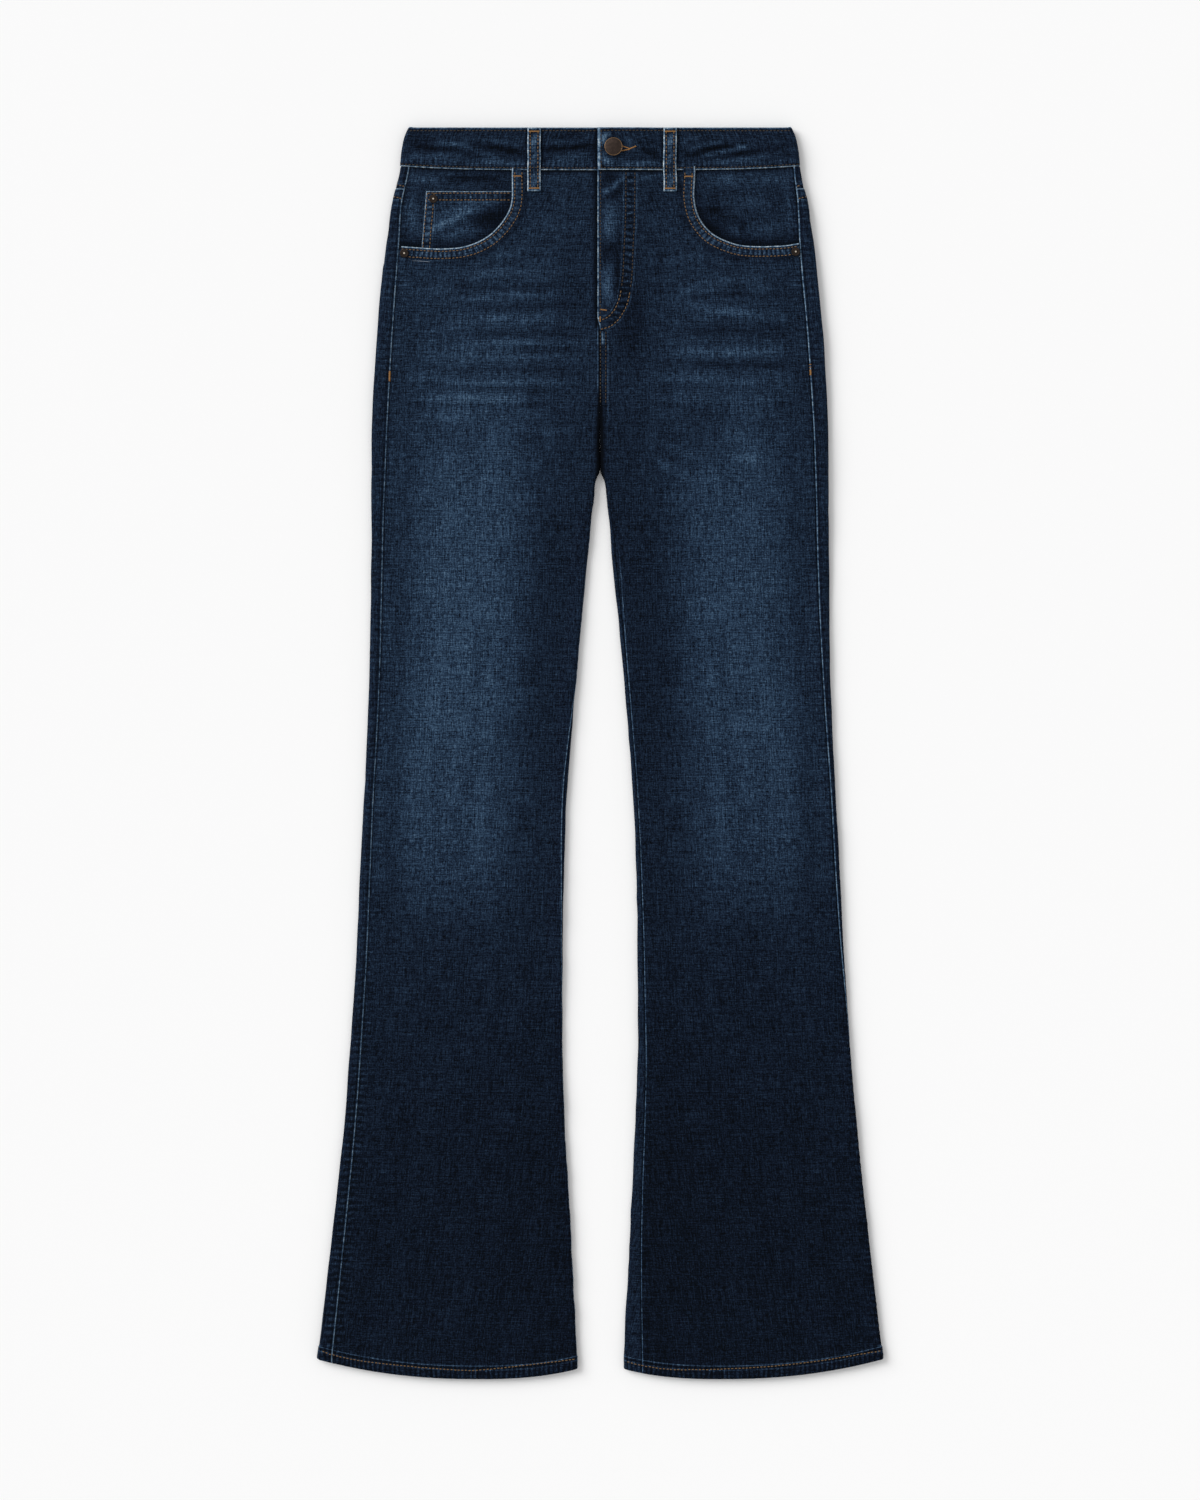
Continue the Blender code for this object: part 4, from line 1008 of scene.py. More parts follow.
def laid_out(leg, row, reach, plan):
    """The sections, walk, across and drop of a panel's points, in columns between reach's edges."""
    drop = row
    for _ in range(2):
        cut = Cut(leg, drop)
        walk = crowded(*reach(cut), plan=plan)
        across = cut.point(walk)[0]
        drop = row + warp(leg, row, across)
    return cut, walk, across, drop


def panel_points(leg, cut, walk, drop, rise, lift=0.0):
    across, height = cut.point(walk, rise)
    return leg.spot(across, drop, height + lift)


def hem_band(apart):
    """The rise of a turned hem, from the distance to its lower edge."""
    fold = ease(HEM_DEPTH + 0.0012, HEM_DEPTH - 0.0002, apart)
    return 0.00055 * fold - 0.00022 * hill(apart - HEM_ROW, 0.0009)


def hem_weight(apart):
    """How much thicker the turned hem is than the cloth."""
    return 0.0008 * ease(HEM_DEPTH + 0.001, HEM_DEPTH, apart)


def hem_wear(apart):
    """The hem's gathers, and the distance in millimetres from the worn line over it."""
    return 0.9 * hill(np.maximum(apart - 0.0105, 0), 0.004), np.abs(apart - HEM_DEPTH - 0.0006) / MM + 0.6


def front_reach(cut):
    return cut.outseam + HALF_GAP, cut.half(1) - cut.inseam - cut.centre_gap(1)


def front_relief(leg, across, drop, from_out=1.0, from_in=1.0, from_hem=1.0):
    """The soft shape of a front panel: long waves, folds and gathers. A distance of 1 m is no edge at all."""
    seed = 10 + leg.sign
    legs = ease(0.30, 0.45, drop)
    rise = 0.00032 * ripples(seed, across, drop, 0.070) + 0.00022 * ripples(seed + 20, across, drop, 0.035)
    rise = rise + 0.00045 * legs * ripples(seed + 40, across, drop, 0.110, stretch=2.5)
    rise = rise * (1 - hill(from_hem, 0.03))
    rise = rise + STROKE_RISE * strokes(FRONT_STROKES, *picture_place(leg.sign, across, drop))
    rise = rise * (1 - 0.7 * hill(from_out, 0.006))
    rise = rise + 0.00018 * puckers(seed + 60, drop, from_out - 0.003, 0.0068, 0.006)
    rise = rise + 0.00014 * puckers(seed + 70, drop, from_in - 0.003, 0.0068, 0.006)
    hem_pucker = puckers(seed + 80, across, np.maximum(from_hem - 0.010, 0), 0.0066, 0.007)
    return rise + 0.00016 * hem_pucker


Surface = namedtuple("Surface", "cut walk across drop mouth lift from_out from_in from_hem relief")


def front_surface(leg, row):
    """Everything about the points of a front panel, or of what is made from its points."""
    cut, walk, across, drop = laid_out(leg, row, front_reach, plan_for(leg, row, front_reach))
    mouth = leg.mouth_distance(across, drop)
    lift = leg.front_lift(across, drop, mouth)
    from_out = walk - cut.outseam - HALF_GAP
    from_in = cut.half(1) - cut.inseam - cut.centre_gap(1) - walk
    from_hem = LENGTH - row + 0 * walk
    relief = front_relief(leg, across, drop, from_out, from_in, from_hem)
    return Surface(cut, walk, across, drop, mouth, lift, from_out, from_in, from_hem, relief)


def seat_shadow(across, drop):
    """Painted shade in the seat seam's crease, where the fronts roll down into it, wider toward the crotch.
    """
    reach = ease(*SEAT_SHADE_START, drop) * (1 - ease(*SEAT_SHADE_END, drop))
    line = 1.5 * hill(across, 0.0010 + 0.0024 * ease(*SEAT_SHADE_GROWTH, drop))
    return 1 - 0.94 * reach * np.minimum(line, 1)


def front_marks(leg, rows, face):
    """The wear, the gathers, and the painted shade of a front panel: beside its seams and pocket mouth, under
    the waistband and the fly's lap, and in the seat seam's crease.
    """
    walk, across, drop, mouth = face.walk, face.across, face.drop, face.mouth
    from_out, from_in, from_hem = face.from_out, face.from_in, face.from_hem
    x, y = picture_place(leg.sign, across, drop)
    tone = leg.tone(across, drop) + strokes(FRONT_STROKES, x, y)
    low = ease(*LOW_LEG, drop)
    side = (0.3 + 0.5 * low) * hill(from_out - 0.002, 0.006) + 0.5 * low * hill(from_in, 0.006)
    level, hem_light = hem_wear(from_hem)
    # Painted shade just past the pocket mouth's turned edge, then painted shadow under the waistband
    shade = 1 - 0.45 * hill(mouth - 0.0115, 0.003) * (mouth > 0.0115)
    shade = shade * (1 - 0.85 * hill(rows - rows[0], 0.0024))
    lights = [hem_light, 0.55 + np.abs(mouth - 0.0128) / MM + 60 * (drop < MOUTH_LIGHT_TOP)]
    seam_start = 60 * (1 - ease(*INSEAM_LIGHT, drop))
    row, half = (rows - LENGTH + HEM_ROW) / MM + 0 * walk, 0 * walk
    if leg is LEFT:
        seam = 0.0004 + 0.0030 * ease(*INSEAM_SHIFT, drop)
        lights.append(np.abs(from_in - seam) / MM + seam_start + 0.3)
        lights.append(np.abs(from_in - 0.0004) / MM * 0.75 + 3 * ease(*FLY_LIGHT_END, drop))
        fly = -apart_from(FLY_MIDDLE, x, y) * PIXEL / MM
        sewn, seat = y < PIXEL_TOP + SEAT_MARK_END, y > PIXEL_TOP + FLY_FOOT
        row = np.where(sewn, np.where(seat, (x - SEAT_MIDDLE) * PIXEL / MM, fly), row)
        half = np.where(sewn, np.where(seat, HALF_SEAT, HALF_FLY), half)
        near = hill(fly, 3.6) * (drop < FLY_GATHER_END)
        side = side + 1.3 * near
        tone = tone - 2 * near
    else:
        lights.append(np.abs(from_in - 0.0013) / MM + seam_start + 0.2)
        hidden = (drop < SEAT_LIGHT[0]) | (drop > SEAT_LIGHT[1])
        lights.append(0.3 + np.abs(across - 0.0022) / MM + 9 * hidden)
        # Painted shadow under the fly's lap
        shade = shade * (1 - 0.92 * hill(np.maximum(across - FLY_EDGE, 0), 0.0030) * (drop < FLY_SHADE_END))
    # Painted shade in the seat seam's crease
    shade = shade * seat_shadow(across, drop)
    # The dark line by the outseam is partly kept dye and partly painted shade
    return marks_of(walk, drop, tone, np.minimum.reduce(lights), from_out / MM, side, level, shade, row, half)


def make_front(leg, materials):
    """A front leg, cut away at the pocket mouth."""
    rows = crowded_rows(BAND_DEPTH + GAP, LENGTH, extra=HEM_STEP_ROWS)
    face = front_surface(leg, rows)
    from_in = face.from_in + 0.01 * (face.drop < SEAT_ROLL_END)
    edge = np.minimum.reduce((face.from_out, from_in, face.from_hem))
    rise = face.relief + hem_band(face.from_hem)
    outer = panel_points(leg, face.cut, face.walk, face.drop, rise + edge_turn(edge), face.lift)
    rise = rise - (DENIM + hem_weight(face.from_hem)) - edge_turn(edge) * 0.7
    inner = panel_points(leg, face.cut, face.walk, face.drop, rise, face.lift)
    keep = ~np.logical_or.reduce(corners_of(face.mouth < MOUTH_CUT))
    return denim_piece(f"front_{leg.side}_leg", outer, inner, front_marks(leg, rows, face), materials, keep)


def denim_piece(node, outer, inner, marks, materials, keep=None):
    """The denim that takes a solid's place, and its sizes."""
    piece = cloth_wall(f"{node}_denim", outer, inner, marks, materials, keep)
    stands_in(piece, node)
    return piece, cut_sizes(outer, keep)


def cut_sizes(grid, keep=None):
    """(width, length, area) of a panel when it is flat, from its grid of points."""
    across = np.linalg.norm(np.diff(grid, axis=1), axis=-1)
    down = np.linalg.norm(np.diff(grid, axis=0), axis=-1)
    crossing = np.cross(grid[1:, 1:] - grid[:-1, :-1], grid[1:, :-1] - grid[:-1, 1:])
    area = (np.linalg.norm(crossing, axis=-1) * kept_cells(grid.shape, keep)).sum() / 2
    return float(across.sum(1).max()), float(down.sum(0).max()), float(area)


def declare(piece, sizes, rests_on, with_pieces=()):
    """Rounds a piece's flat size and area, and keeps neither; the piece and what it lies on are not used."""
    width, length, area = sizes
    flat = (round(width, 4), round(length, 4))
    area = round(min(area, flat[0] * flat[1]), 5)


def mouth_lines(leg, insides, steps=12):
    """Lines beside the mouth's edge, at these distances inside it, as points of (across, drop)."""
    line = smooth_line(leg.mouth[::MOUTH_STEPS], steps)
    return beside(line[line[:, 1] > BAND_DEPTH - BAND_RISE], insides)


def beside(line, distances):
    """Lines at these distances from a line of points, on the side to its left where the drop grows."""
    way = np.gradient(line, axis=0)
    way /= np.linalg.norm(way, axis=1)[:, None]
    normal = np.stack((-way[:, 1], way[:, 0]), -1)
    return line[:, None] + normal[:, None] * np.asarray(distances)[None, :, None]


def make_mouth(leg, materials):
    """The turned edge of a pocket mouth, over the front panel's cut edge."""
    inside, rise = (np.array(MOUTH_LIP) * MM).T
    line = mouth_lines(leg, inside)
    across, drop = line[..., 0], line[..., 1]
    seam = leg.outer(drop) - leg.outseam(drop) - 0.0002
    across = np.minimum(across, seam)
    travel = np.concatenate(((0,), np.cumsum(np.linalg.norm(np.diff(line[:, 5], axis=0), axis=1))))[:, None]
    lift = leg.front_lift(across, drop, np.maximum(inside, 0))
    relief = front_relief(leg, across, drop)
    pucker = puckers(90 + leg.sign, travel, inside - 0.004, 0.0060, 0.005)
    height = seat_base(drop) + HEIGHT + lift + rise + relief + 0.00012 * pucker * (rise > 0)
    outer = leg.spot(across, drop, height)
    below = height - 0.00035 - 0.0005 * hill(inside - 0.005, 0.004)
    below = np.where(rise < -0.0003, height + 0.00035, below)
    under = across + 0.0002 * (rise < 0.0001) * (inside < 0.001)
    inner = leg.spot(under, drop, below)
    light = np.abs(inside - 0.0002) / MM
    level = 0.95 * hill(inside - 0.0058, 0.0032) * (0.35 + 0.65 * ease(0.075, 0.105, drop))
    tone = leg.tone(across, drop) + 4 + 5 * level
    row = (inside - sum(MOUTH_ROWS) / 2) / MM
    # A dark line just past the outer row of sewing: partly kept dye, partly painted shade
    dark = np.abs(inside - 0.0104) / MM + 0.2
    marks = marks_of(travel, inside + 0.5, tone, light, dark, level=level, row=row, half=HALF_MOUTH)
    binding = cloth_wall(f"pocket_mouth_{leg.side}", outer, inner, marks, materials)
    return binding


def make_facing(leg, materials):
    """The denim facing that shows inside a pocket mouth."""
    rows = crowded_rows(BAND_DEPTH + GAP, FACING_FOOT)
    face = front_surface(leg, rows)
    mouth = face.mouth
    sink = leg.facing_sink(mouth)
    soft = 0.5 * face.relief + 0.00025 * ripples(31 + leg.sign, face.across, face.drop, 0.03)
    outer = panel_points(leg, face.cut, face.walk, face.drop, soft + edge_turn(face.from_out), -sink)
    inner = panel_points(leg, face.cut, face.walk, face.drop, soft - LINING_WEIGHT, -sink)
    keep = ~np.logical_and.reduce(corners_of(mouth > FACING_REACH))
    # Painted shade inside the pocket mouth, under the front's turned edge, with some darker unworn dye; then
    # painted shadow under the waistband
    painted_shade = 1 - 0.45 * hill(mouth, 0.009) * ease(0.05, 0.09, face.drop) - 0.25 * hill(mouth, 0.004)
    painted_shade = painted_shade * (1 - 0.65 * hill(rows - rows[0], 0.0022))
    # The pocket strokes: wear, with painted shade where the facing bows under the mouth
    worn = strokes(POCKET_STROKES, *picture_place(leg.sign, face.across, face.drop))
    tone = FACING_TONE + worn + 5 * hill(rows - rows[0] - 0.006, 0.004)
    side = 0.5 * hill(face.from_out - 0.002, 0.005)
    # The dark line by the outseam is partly kept dye and partly painted shade
    marks = marks_of(face.walk, face.drop, tone, dark=face.from_out / MM, side=side, shade=painted_shade)
    return denim_piece(f"pocket_facing_{leg.side}", outer, inner, marks, materials, keep)


def make_coin_pocket(materials):
    """The small pocket on the right facing: its turned top edge and its outer side show."""
    leg = RIGHT
    foot = float(leg.mouth[:, 1].max()) + COIN_TUCK
    down = crowded_rows(COIN_TOP, foot, 0.003)
    side = COIN_SIDE_TOP + (COIN_SIDE_FOOT - COIN_SIDE_TOP) * (down - COIN_TOP) / (foot - COIN_TOP)
    inner_edge = leg.mouth[0][0] - COIN_TUCK
    across = crowded(side, inner_edge + 0 * side, 0.003)
    drop = down + 0 * across
    mouth = leg.mouth_distance(across, drop)
    from_side, from_top = side - across, drop - COIN_TOP
    edge = np.minimum(from_side, from_top)
    hem = 0.0003 * ease(0.0095, 0.0088, from_top) + 0.0002 * ease(0.0068, 0.0062, from_side)
    valley = sum(hill(from_top - inside, 0.0007) for inside in COIN_ROWS)
    valley = valley + sum(hill(from_side - inside, 0.0007) for inside in COIN_SIDE_ROWS)
    relief = 0.5 * front_relief(leg, across, drop)
    rise = relief + 0.00025 * ripples(41, across, drop, 0.022) + hem - 0.00012 * valley
    rise = rise + 0.00012 * puckers(43, across, from_top - 0.005, 0.006, 0.006)
    base = seat_base(drop) + HEIGHT - leg.facing_sink(mouth) + COIN_ROOM
    outer = leg.spot(across, drop, base + rise + edge_turn(edge, 0.0005))
    inner = leg.spot(across, drop, base + relief - LINING_WEIGHT)
    keep = ~np.logical_and.reduce(corners_of(mouth > COIN_TUCK))
    # Painted shade where the coin pocket goes under the pocket mouth
    painted_shade = 1 - 0.45 * hill(mouth, 0.008)
    light = np.minimum(np.abs(from_top - 0.0002), np.abs(from_side - 0.0002)) / MM + 0.1
    top = from_top < from_side + 0.004
    row = np.where(top, from_top - sum(COIN_ROWS) / 2, from_side - sum(COIN_SIDE_ROWS) / 2) / MM
    level = 0.7 * hill(from_top - 0.005, 0.003) * (from_side > 0.009)
    side = 0.9 * hill(from_side - 0.0044, 0.003) * (from_top > 0.009)
    tone = COIN_TONE + strokes(POCKET_STROKES, *picture_place(-1, across, drop)) + 14 * side
    marks = marks_of(across, drop, tone, light, side=side, level=level, shade=painted_shade, row=row, half=HALF_COIN)
    return denim_piece("coin_pocket", outer, inner, marks, materials, keep)


def back_width(cut):
    """The walk from the outer fold, underneath, to the edge of a back panel."""
    return cut.half(-1) + np.where(cut.roll[-1] > CLOSED_ROLL, cut.inseam, 0.0)


def back_reach(cut):
    return cut.outseam - HALF_GAP, cut.centre_gap(-1) - back_width(cut)


def yoke_row(cut, walk):
    """The drop of the yoke's seam, level round the fold and falling toward the centre back."""
    share = np.clip(-(walk + cut.turn) / cut.flat(-1), 0, 1)
    return YOKE_AT_FOLD + (YOKE_AT_CENTRE - YOKE_AT_FOLD) * share


def slanted_rows(leg, rows, plan):
    """The rows of a back or a yoke as a grid, slanting with the yoke's seam above YOKE_REACH."""
    cut = Cut(leg, rows)
    walk = crowded(*back_reach(cut), plan=plan)
    seam = yoke_row(cut, walk)
    below = (rows - YOKE_AT_FOLD) / (YOKE_REACH - YOKE_AT_FOLD)
    above = (rows - YOKE_AT_FOLD) / (BAND_DEPTH - YOKE_AT_FOLD)
    to_reach, to_band = seam + (YOKE_REACH - seam) * below, seam + (BAND_DEPTH - seam) * above
    slant = np.where(rows > YOKE_AT_FOLD, to_reach, to_band)
    return np.where(rows < YOKE_REACH, slant, rows + 0 * walk)


def make_back_piece(leg, name, start, end, materials):
    """A back panel or a yoke, with the strip of it that turns over the outer fold onto the front."""
    hem = end > YOKE_REACH
    level = crowded_rows(start, end, extra=HEM_STEP_ROWS if hem else ())
    plan = plan_for(leg, level, back_reach)
    cut, walk, across, drop = laid_out(leg, slanted_rows(leg, level, plan), back_reach, plan)
    from_out = cut.outseam - HALF_GAP - walk
    from_in = walk + back_width(cut) - cut.centre_gap(-1)
    from_top, from_foot = level - start + 0 * walk, end - level + 0 * walk
    edge = np.minimum.reduce((from_out, from_in, from_top, from_foot))
    seed = 100 + leg.sign + int(start * 1000)
    wave = 0.0003 * ripples(seed, across, drop, 0.06) + 0.0003 * ripples(seed + 1, across, drop, 0.12, 2.0)
    over = ease(-0.004, 0.004, walk)
    relief = np.where(walk < 0, -np.abs(wave), wave * over * hill(from_out - 0.02, 0.02))
    relief = relief + over * 0.00022 * hill(from_out - 0.0030, 0.0022)
    relief = relief + over * 0.00018 * puckers(seed + 2, drop, from_out - 0.002, 0.0068, 0.006)
    if hem:
        relief = relief + hem_band(from_foot) * np.where(walk < -0.003, 0.0, 1.0)
    outer = panel_points(leg, cut, walk, drop, relief + edge_turn(edge))
    thick = DENIM + (hem_weight(from_foot) if hem else 0.0)
    inner = panel_points(leg, cut, walk, drop, relief - thick - 0.7 * edge_turn(edge))

    low = ease(*LOW_LEG, drop)
    strip = STRIP_TONE - 8 * low + 9 * hill(drop - YOKE_AT_FOLD, 0.009)
    tone = np.where(walk > 0, strip, BACK_TONE + 0.35 * (leg.tone(across, drop) - MEAN_TONE))
    light = np.abs(from_out - 0.0006) / MM + 0.1 + 0.12 * ease(0.20, 0.32, drop) - 0.1 * low
    cross, row, half = 0.0, (drop - YOKE_AT_FOLD) / MM, HALF_YOKE
    if hem:
        cross, hem_light = hem_wear(from_foot)
        light = np.minimum.reduce((light, hem_light, np.abs(from_top - 0.0004) / MM + 0.1))
        row = np.where(drop > MID_LEG, (from_foot - HEM_ROW) / MM, row)
        half = np.where(drop > MID_LEG, 0.0, half)
    side = (0.35 + 0.5 * low) * hill(from_out - 0.004, 0.006)
    # Dark lines by the inner edge and beside the turned strip's seam: partly kept dye, partly painted shade
    dark = np.where(from_in < 0.004, from_in / MM, 99)
    dark = np.minimum(dark, np.abs(from_out - 0.0026) / MM + 0.3 + 99 * (walk < 0))
    # The seat seam's crease gets its painted shade here too
    marks = marks_of(walk, drop, tone, light, dark, side, cross, seat_shadow(across, drop), row, half)
    declare(*denim_piece(name, outer, inner, marks, materials), [])


def make_back_pocket(leg, materials):
    """A patch pocket on the seat, with its face to the floor."""
    aside = crowded(np.array([[-1.0]]), np.array([[1.0]]), 0.07)
    top = POCKET_TOP + (POCKET_WIDE.drop - POCKET_TOP) * np.abs(aside)
    bottom = POCKET_FOOT + (POCKET_LOW.drop - POCKET_FOOT) * np.abs(aside)
    down = crowded_rows(0.0, 0.14, 0.0035) / 0.14
    drop = top + (bottom - top) * down
    width = POCKET_WIDE.aside + (POCKET_LOW.aside - POCKET_WIDE.aside) * down
    across = POCKET_ACROSS + aside * width
    from_side = (1 - np.abs(aside)) * width
    from_top, from_foot = drop - top, bottom - drop
    edge = np.minimum.reduce((from_side, from_top, from_foot))
    sewn = np.minimum(from_side, from_foot)
    rise = -edge_turn(edge, 0.0005, 0.0014)
    for inside in POCKET_ROWS:
        rise = rise + 0.00012 * hill(sewn - inside, 0.0008)
    outer = leg.spot(across, drop, 0.0001 + rise)
    inner = leg.spot(across, drop, DENIM + 0 * rise)
    light = np.abs(np.minimum(sewn, from_top) - 0.0005) / MM
    side, level = 0.4 * hill(sewn, 0.006), 0.3 * hill(from_top, 0.008)
    marks = marks_of(across, drop, 44 + 0 * across, light, side=side, level=level)
    pocket, sizes = denim_piece(f"back_pocket_{leg.side}", outer, inner, marks, materials)
    declare(pocket, sizes, [f"back_{leg.side}_leg_denim"])


# ---------------------------------------------------------------- waistband and belt loops
def lap_lift(leg, across):
    """The waistband's rise over its own other end, or the dip of that end below it."""
    if leg is LEFT:
        return BAND_LAP_LIFT * (1 - ease(UNDERLAP_END + 0.004, UNDERLAP_END + 0.030, across))
    return -BAND_LAP_DIP * (1 - ease(0.006, 0.040, across))


def band_half(leg, level, columns):
    """Points of half the waistband, from the centre front (1) round the fold (0) to the centre back (-1)."""
    end = FLY_EDGE if leg is LEFT else UNDERLAP_END
    part = 1 - level / BAND_DEPTH
    drop = level + 0 * columns
    for _ in range(2):
        cut = Cut(leg, drop, BAND_PROUD)
        cut.edge = {1: -end + 0 * drop, -1: 0 * drop}
        walk = columns * np.where(columns >= 0, cut.half(1), cut.half(-1))
        across = cut.point(walk)[0]
        top = BAND_FRONT_DROP * ease(0.0, 0.01, walk)
        drop = band_line(across) + (top - band_line(across)) * part
    lift = np.where(walk > cut.turn, lap_lift(leg, across), 0.0)
    return cut, walk, across, drop, lift


def band_relief(leg, walk, across, drop, from_foot, from_top):
    """Slanting drag lines, the seams' ridges and the thread's furrows of the waistband."""
    seed = 200 + leg.sign
    over = ease(-0.002, 0.006, walk)
    slant = walk + 0.9 * drop
    drag = ripples(seed, slant, drop * 0.12, 0.016, count=7) * ripples(seed + 1, walk, drop, 0.08)
    rise = over * (0.00014 * drag + 0.00022 * ripples(seed + 2, walk, drop, 0.05))
    rise = rise + over * STROKE_RISE * strokes(BAND_STROKES, *picture_place(leg.sign, across, drop)) * 0.6
    rise = rise * ease(0, 0.008, from_top) * ease(0, 0.006, from_foot)
    rise = rise + over * (0.0002 * hill(from_foot - 0.0045, 0.003) + 0.0002 * hill(from_top - 0.002, 0.002))
    rows = hill(from_top - BAND_TOP_ROW, 0.0008) + hill(from_foot - BAND_FOOT_ROW, 0.0008)
    rise = rise - over * 0.00014 * rows
    gathers = puckers(seed + 3, walk, from_foot - 0.003, 0.0062, 0.005)
    gathers = gathers + puckers(seed + 4, walk, from_top - 0.003, 0.0062, 0.004)
    return rise + over * 0.00014 * gathers


def band_part(leg, level, columns):
    """The outer points, the inner points and the marks of one half of the waistband."""
    cut, walk, across, drop, lift = band_half(leg, level, columns)
    from_foot, from_top = BAND_DEPTH - level + 0 * walk, level + 0 * walk
    from_end = (1 - columns) * BAND_HALF + 0 * walk
    turn = edge_turn(np.minimum.reduce((from_foot, from_top, from_end)), 0.0006, 0.0017)
    relief = band_relief(leg, walk, across, drop, from_foot, from_top)
    outer = panel_points(leg, cut, walk, drop, relief + turn, lift)
    inner = panel_points(leg, cut, walk, drop, -BAND_WALL - 0.8 * turn, lift)

    seen = walk > 0
    light = np.minimum(np.abs(from_top - 0.0003) + 0.0003, np.abs(from_foot - 0.0002) * 0.8) / MM
    # A dark line above the band's foot: partly kept dye, partly painted shade
    dark = np.abs(from_foot - 0.0023) / MM + 0.7
    gather = 0.5 * hill(from_foot - 0.0050, 0.003) + 0.35 * hill(from_top - 0.0060, 0.003)
    x, y = picture_place(leg.sign, across, drop)
    tone = BAND_TONE + (strokes(BAND_STROKES, x, y) + 7 * hill(from_foot - 0.0055, 0.003)) * seen
    tone = tone + 2.5 * ripples(230 + leg.sign, walk + 1.6 * drop, drop * 0.3, 0.014, count=7)
    # Painted shadows beside the front belt loops
    shade = 1.0 + 0 * walk
    for _, sign, middle in FRONT_LOOPS:
        apart = np.maximum(np.abs(across * leg.sign - sign * middle) - LOOP_WIDTH / 2, 0)
        shade = shade * (1 - 0.6 * hill(apart, 0.0018) * seen)
    if leg is LEFT:
        light = np.minimum(light, np.abs(from_end - 0.0013) / MM * 0.42)
    else:
        # Painted shadow under the left end's lap
        shade = shade * (1 - 0.9 * hill(np.maximum(across - FLY_EDGE, 0), 0.0028) * seen)
    row = (level - (BAND_DEPTH - BAND_FOOT_ROW + BAND_TOP_ROW) / 2) / MM
    half = (BAND_DEPTH - BAND_FOOT_ROW - BAND_TOP_ROW) / 2 / MM
    walk = leg.sign * (0.5 - walk)
    return outer, inner, marks_of(walk, drop, tone, light, dark, 0.0, gather, shade, row, half)


def make_waistband(materials):
    """One strip round the waist. Its left end laps over its right one at the centre front."""
    level = crowded_rows(BAND_DEPTH, 0.0, 0.0024)
    even = np.linspace(1, -1, 221)
    fold = np.sign(even) * np.abs(even) ** 1.5
    close = 1 - EDGE_STEPS[:6] / BAND_HALF
    columns = np.concatenate((close, fold[fold < close[-1]]))[None, :]
    halves = band_part(LEFT, level, columns), band_part(RIGHT, level, columns[:, ::-1][:, 1:])
    outer, inner = (np.concatenate(grids, 1) for grids in list(zip(*halves))[:2])
    marks = {name: np.concatenate([half[2][name] for half in halves], 1) for name in halves[0][2]}
    band, sizes = denim_piece("waistband", outer, inner, marks, materials)
    declare(band, sizes, ["front_right_leg_denim", "front_left_leg_denim"])


def surface_height(leg, across, drop):
    """The top of the cloth, waistband included."""
    if drop < band_line(across) + GAP:
        return SEAT_LIFT + HEIGHT + BAND_PROUD + max(float(lap_lift(leg, across)), 0.0)
    mouth = leg.mouth_distance(np.array([across]), np.array([drop]))
    return float((SEAT_LIFT + HEIGHT + leg.front_lift(across, drop, mouth))[0])


def strip_section(width, wall, count=25):
    """A flat strip's section as a closed ring of (aside, height), with rounded sides and two sewn furrows."""
    aside = np.sin(np.linspace(-math.pi / 2, math.pi / 2, count)) * width / 2
    from_side = width / 2 - np.abs(aside)
    turned_in = edge_turn(from_side, 0.00065, 0.0016)
    furrow = 0.00016 * hill(from_side - LOOP_ROW, 0.0008)
    crown = 0.00012 * hill(aside, width / 4)
    above = wall + turned_in - furrow + crown
    below = -turned_in * 0.8
    ring = np.concatenate((np.stack((aside, above), -1), np.stack((aside, below), -1)[::-1]))
    return ring, np.concatenate((from_side, from_side[::-1]))


def loop_strip(first, last, wall):
    """A belt loop's drops, its ring, how flat that is at each, and each point's millimetres to its edges."""
    drops = np.linspace(first, last, 61)
    ring, from_side = strip_section(LOOP_WIDTH, wall)
    end = np.minimum(drops - drops[0], drops[-1] - drops)
    squash = 1 - 0.35 * np.clip(1 - end / 0.0015, 0, 1) ** 2
    from_edge = np.minimum(from_side[None, :], end[:, None]) / MM
    return drops[:, None], ring, squash[:, None], from_edge


def finish_loop(name, drops, x, height, marks, materials):
    """A belt loop from the places and the marks of its rings."""
    rings = np.stack((x, np.broadcast_to(TOP - drops, x.shape), height), -1)
    loop = tube(f"{name}_denim", rings, marks, materials[:1])
    stands_in(loop, name)
    declare(loop, (LOOP_WIDTH, LOOP_LENGTH, LOOP_WIDTH * LOOP_LENGTH), ["waistband_denim"])


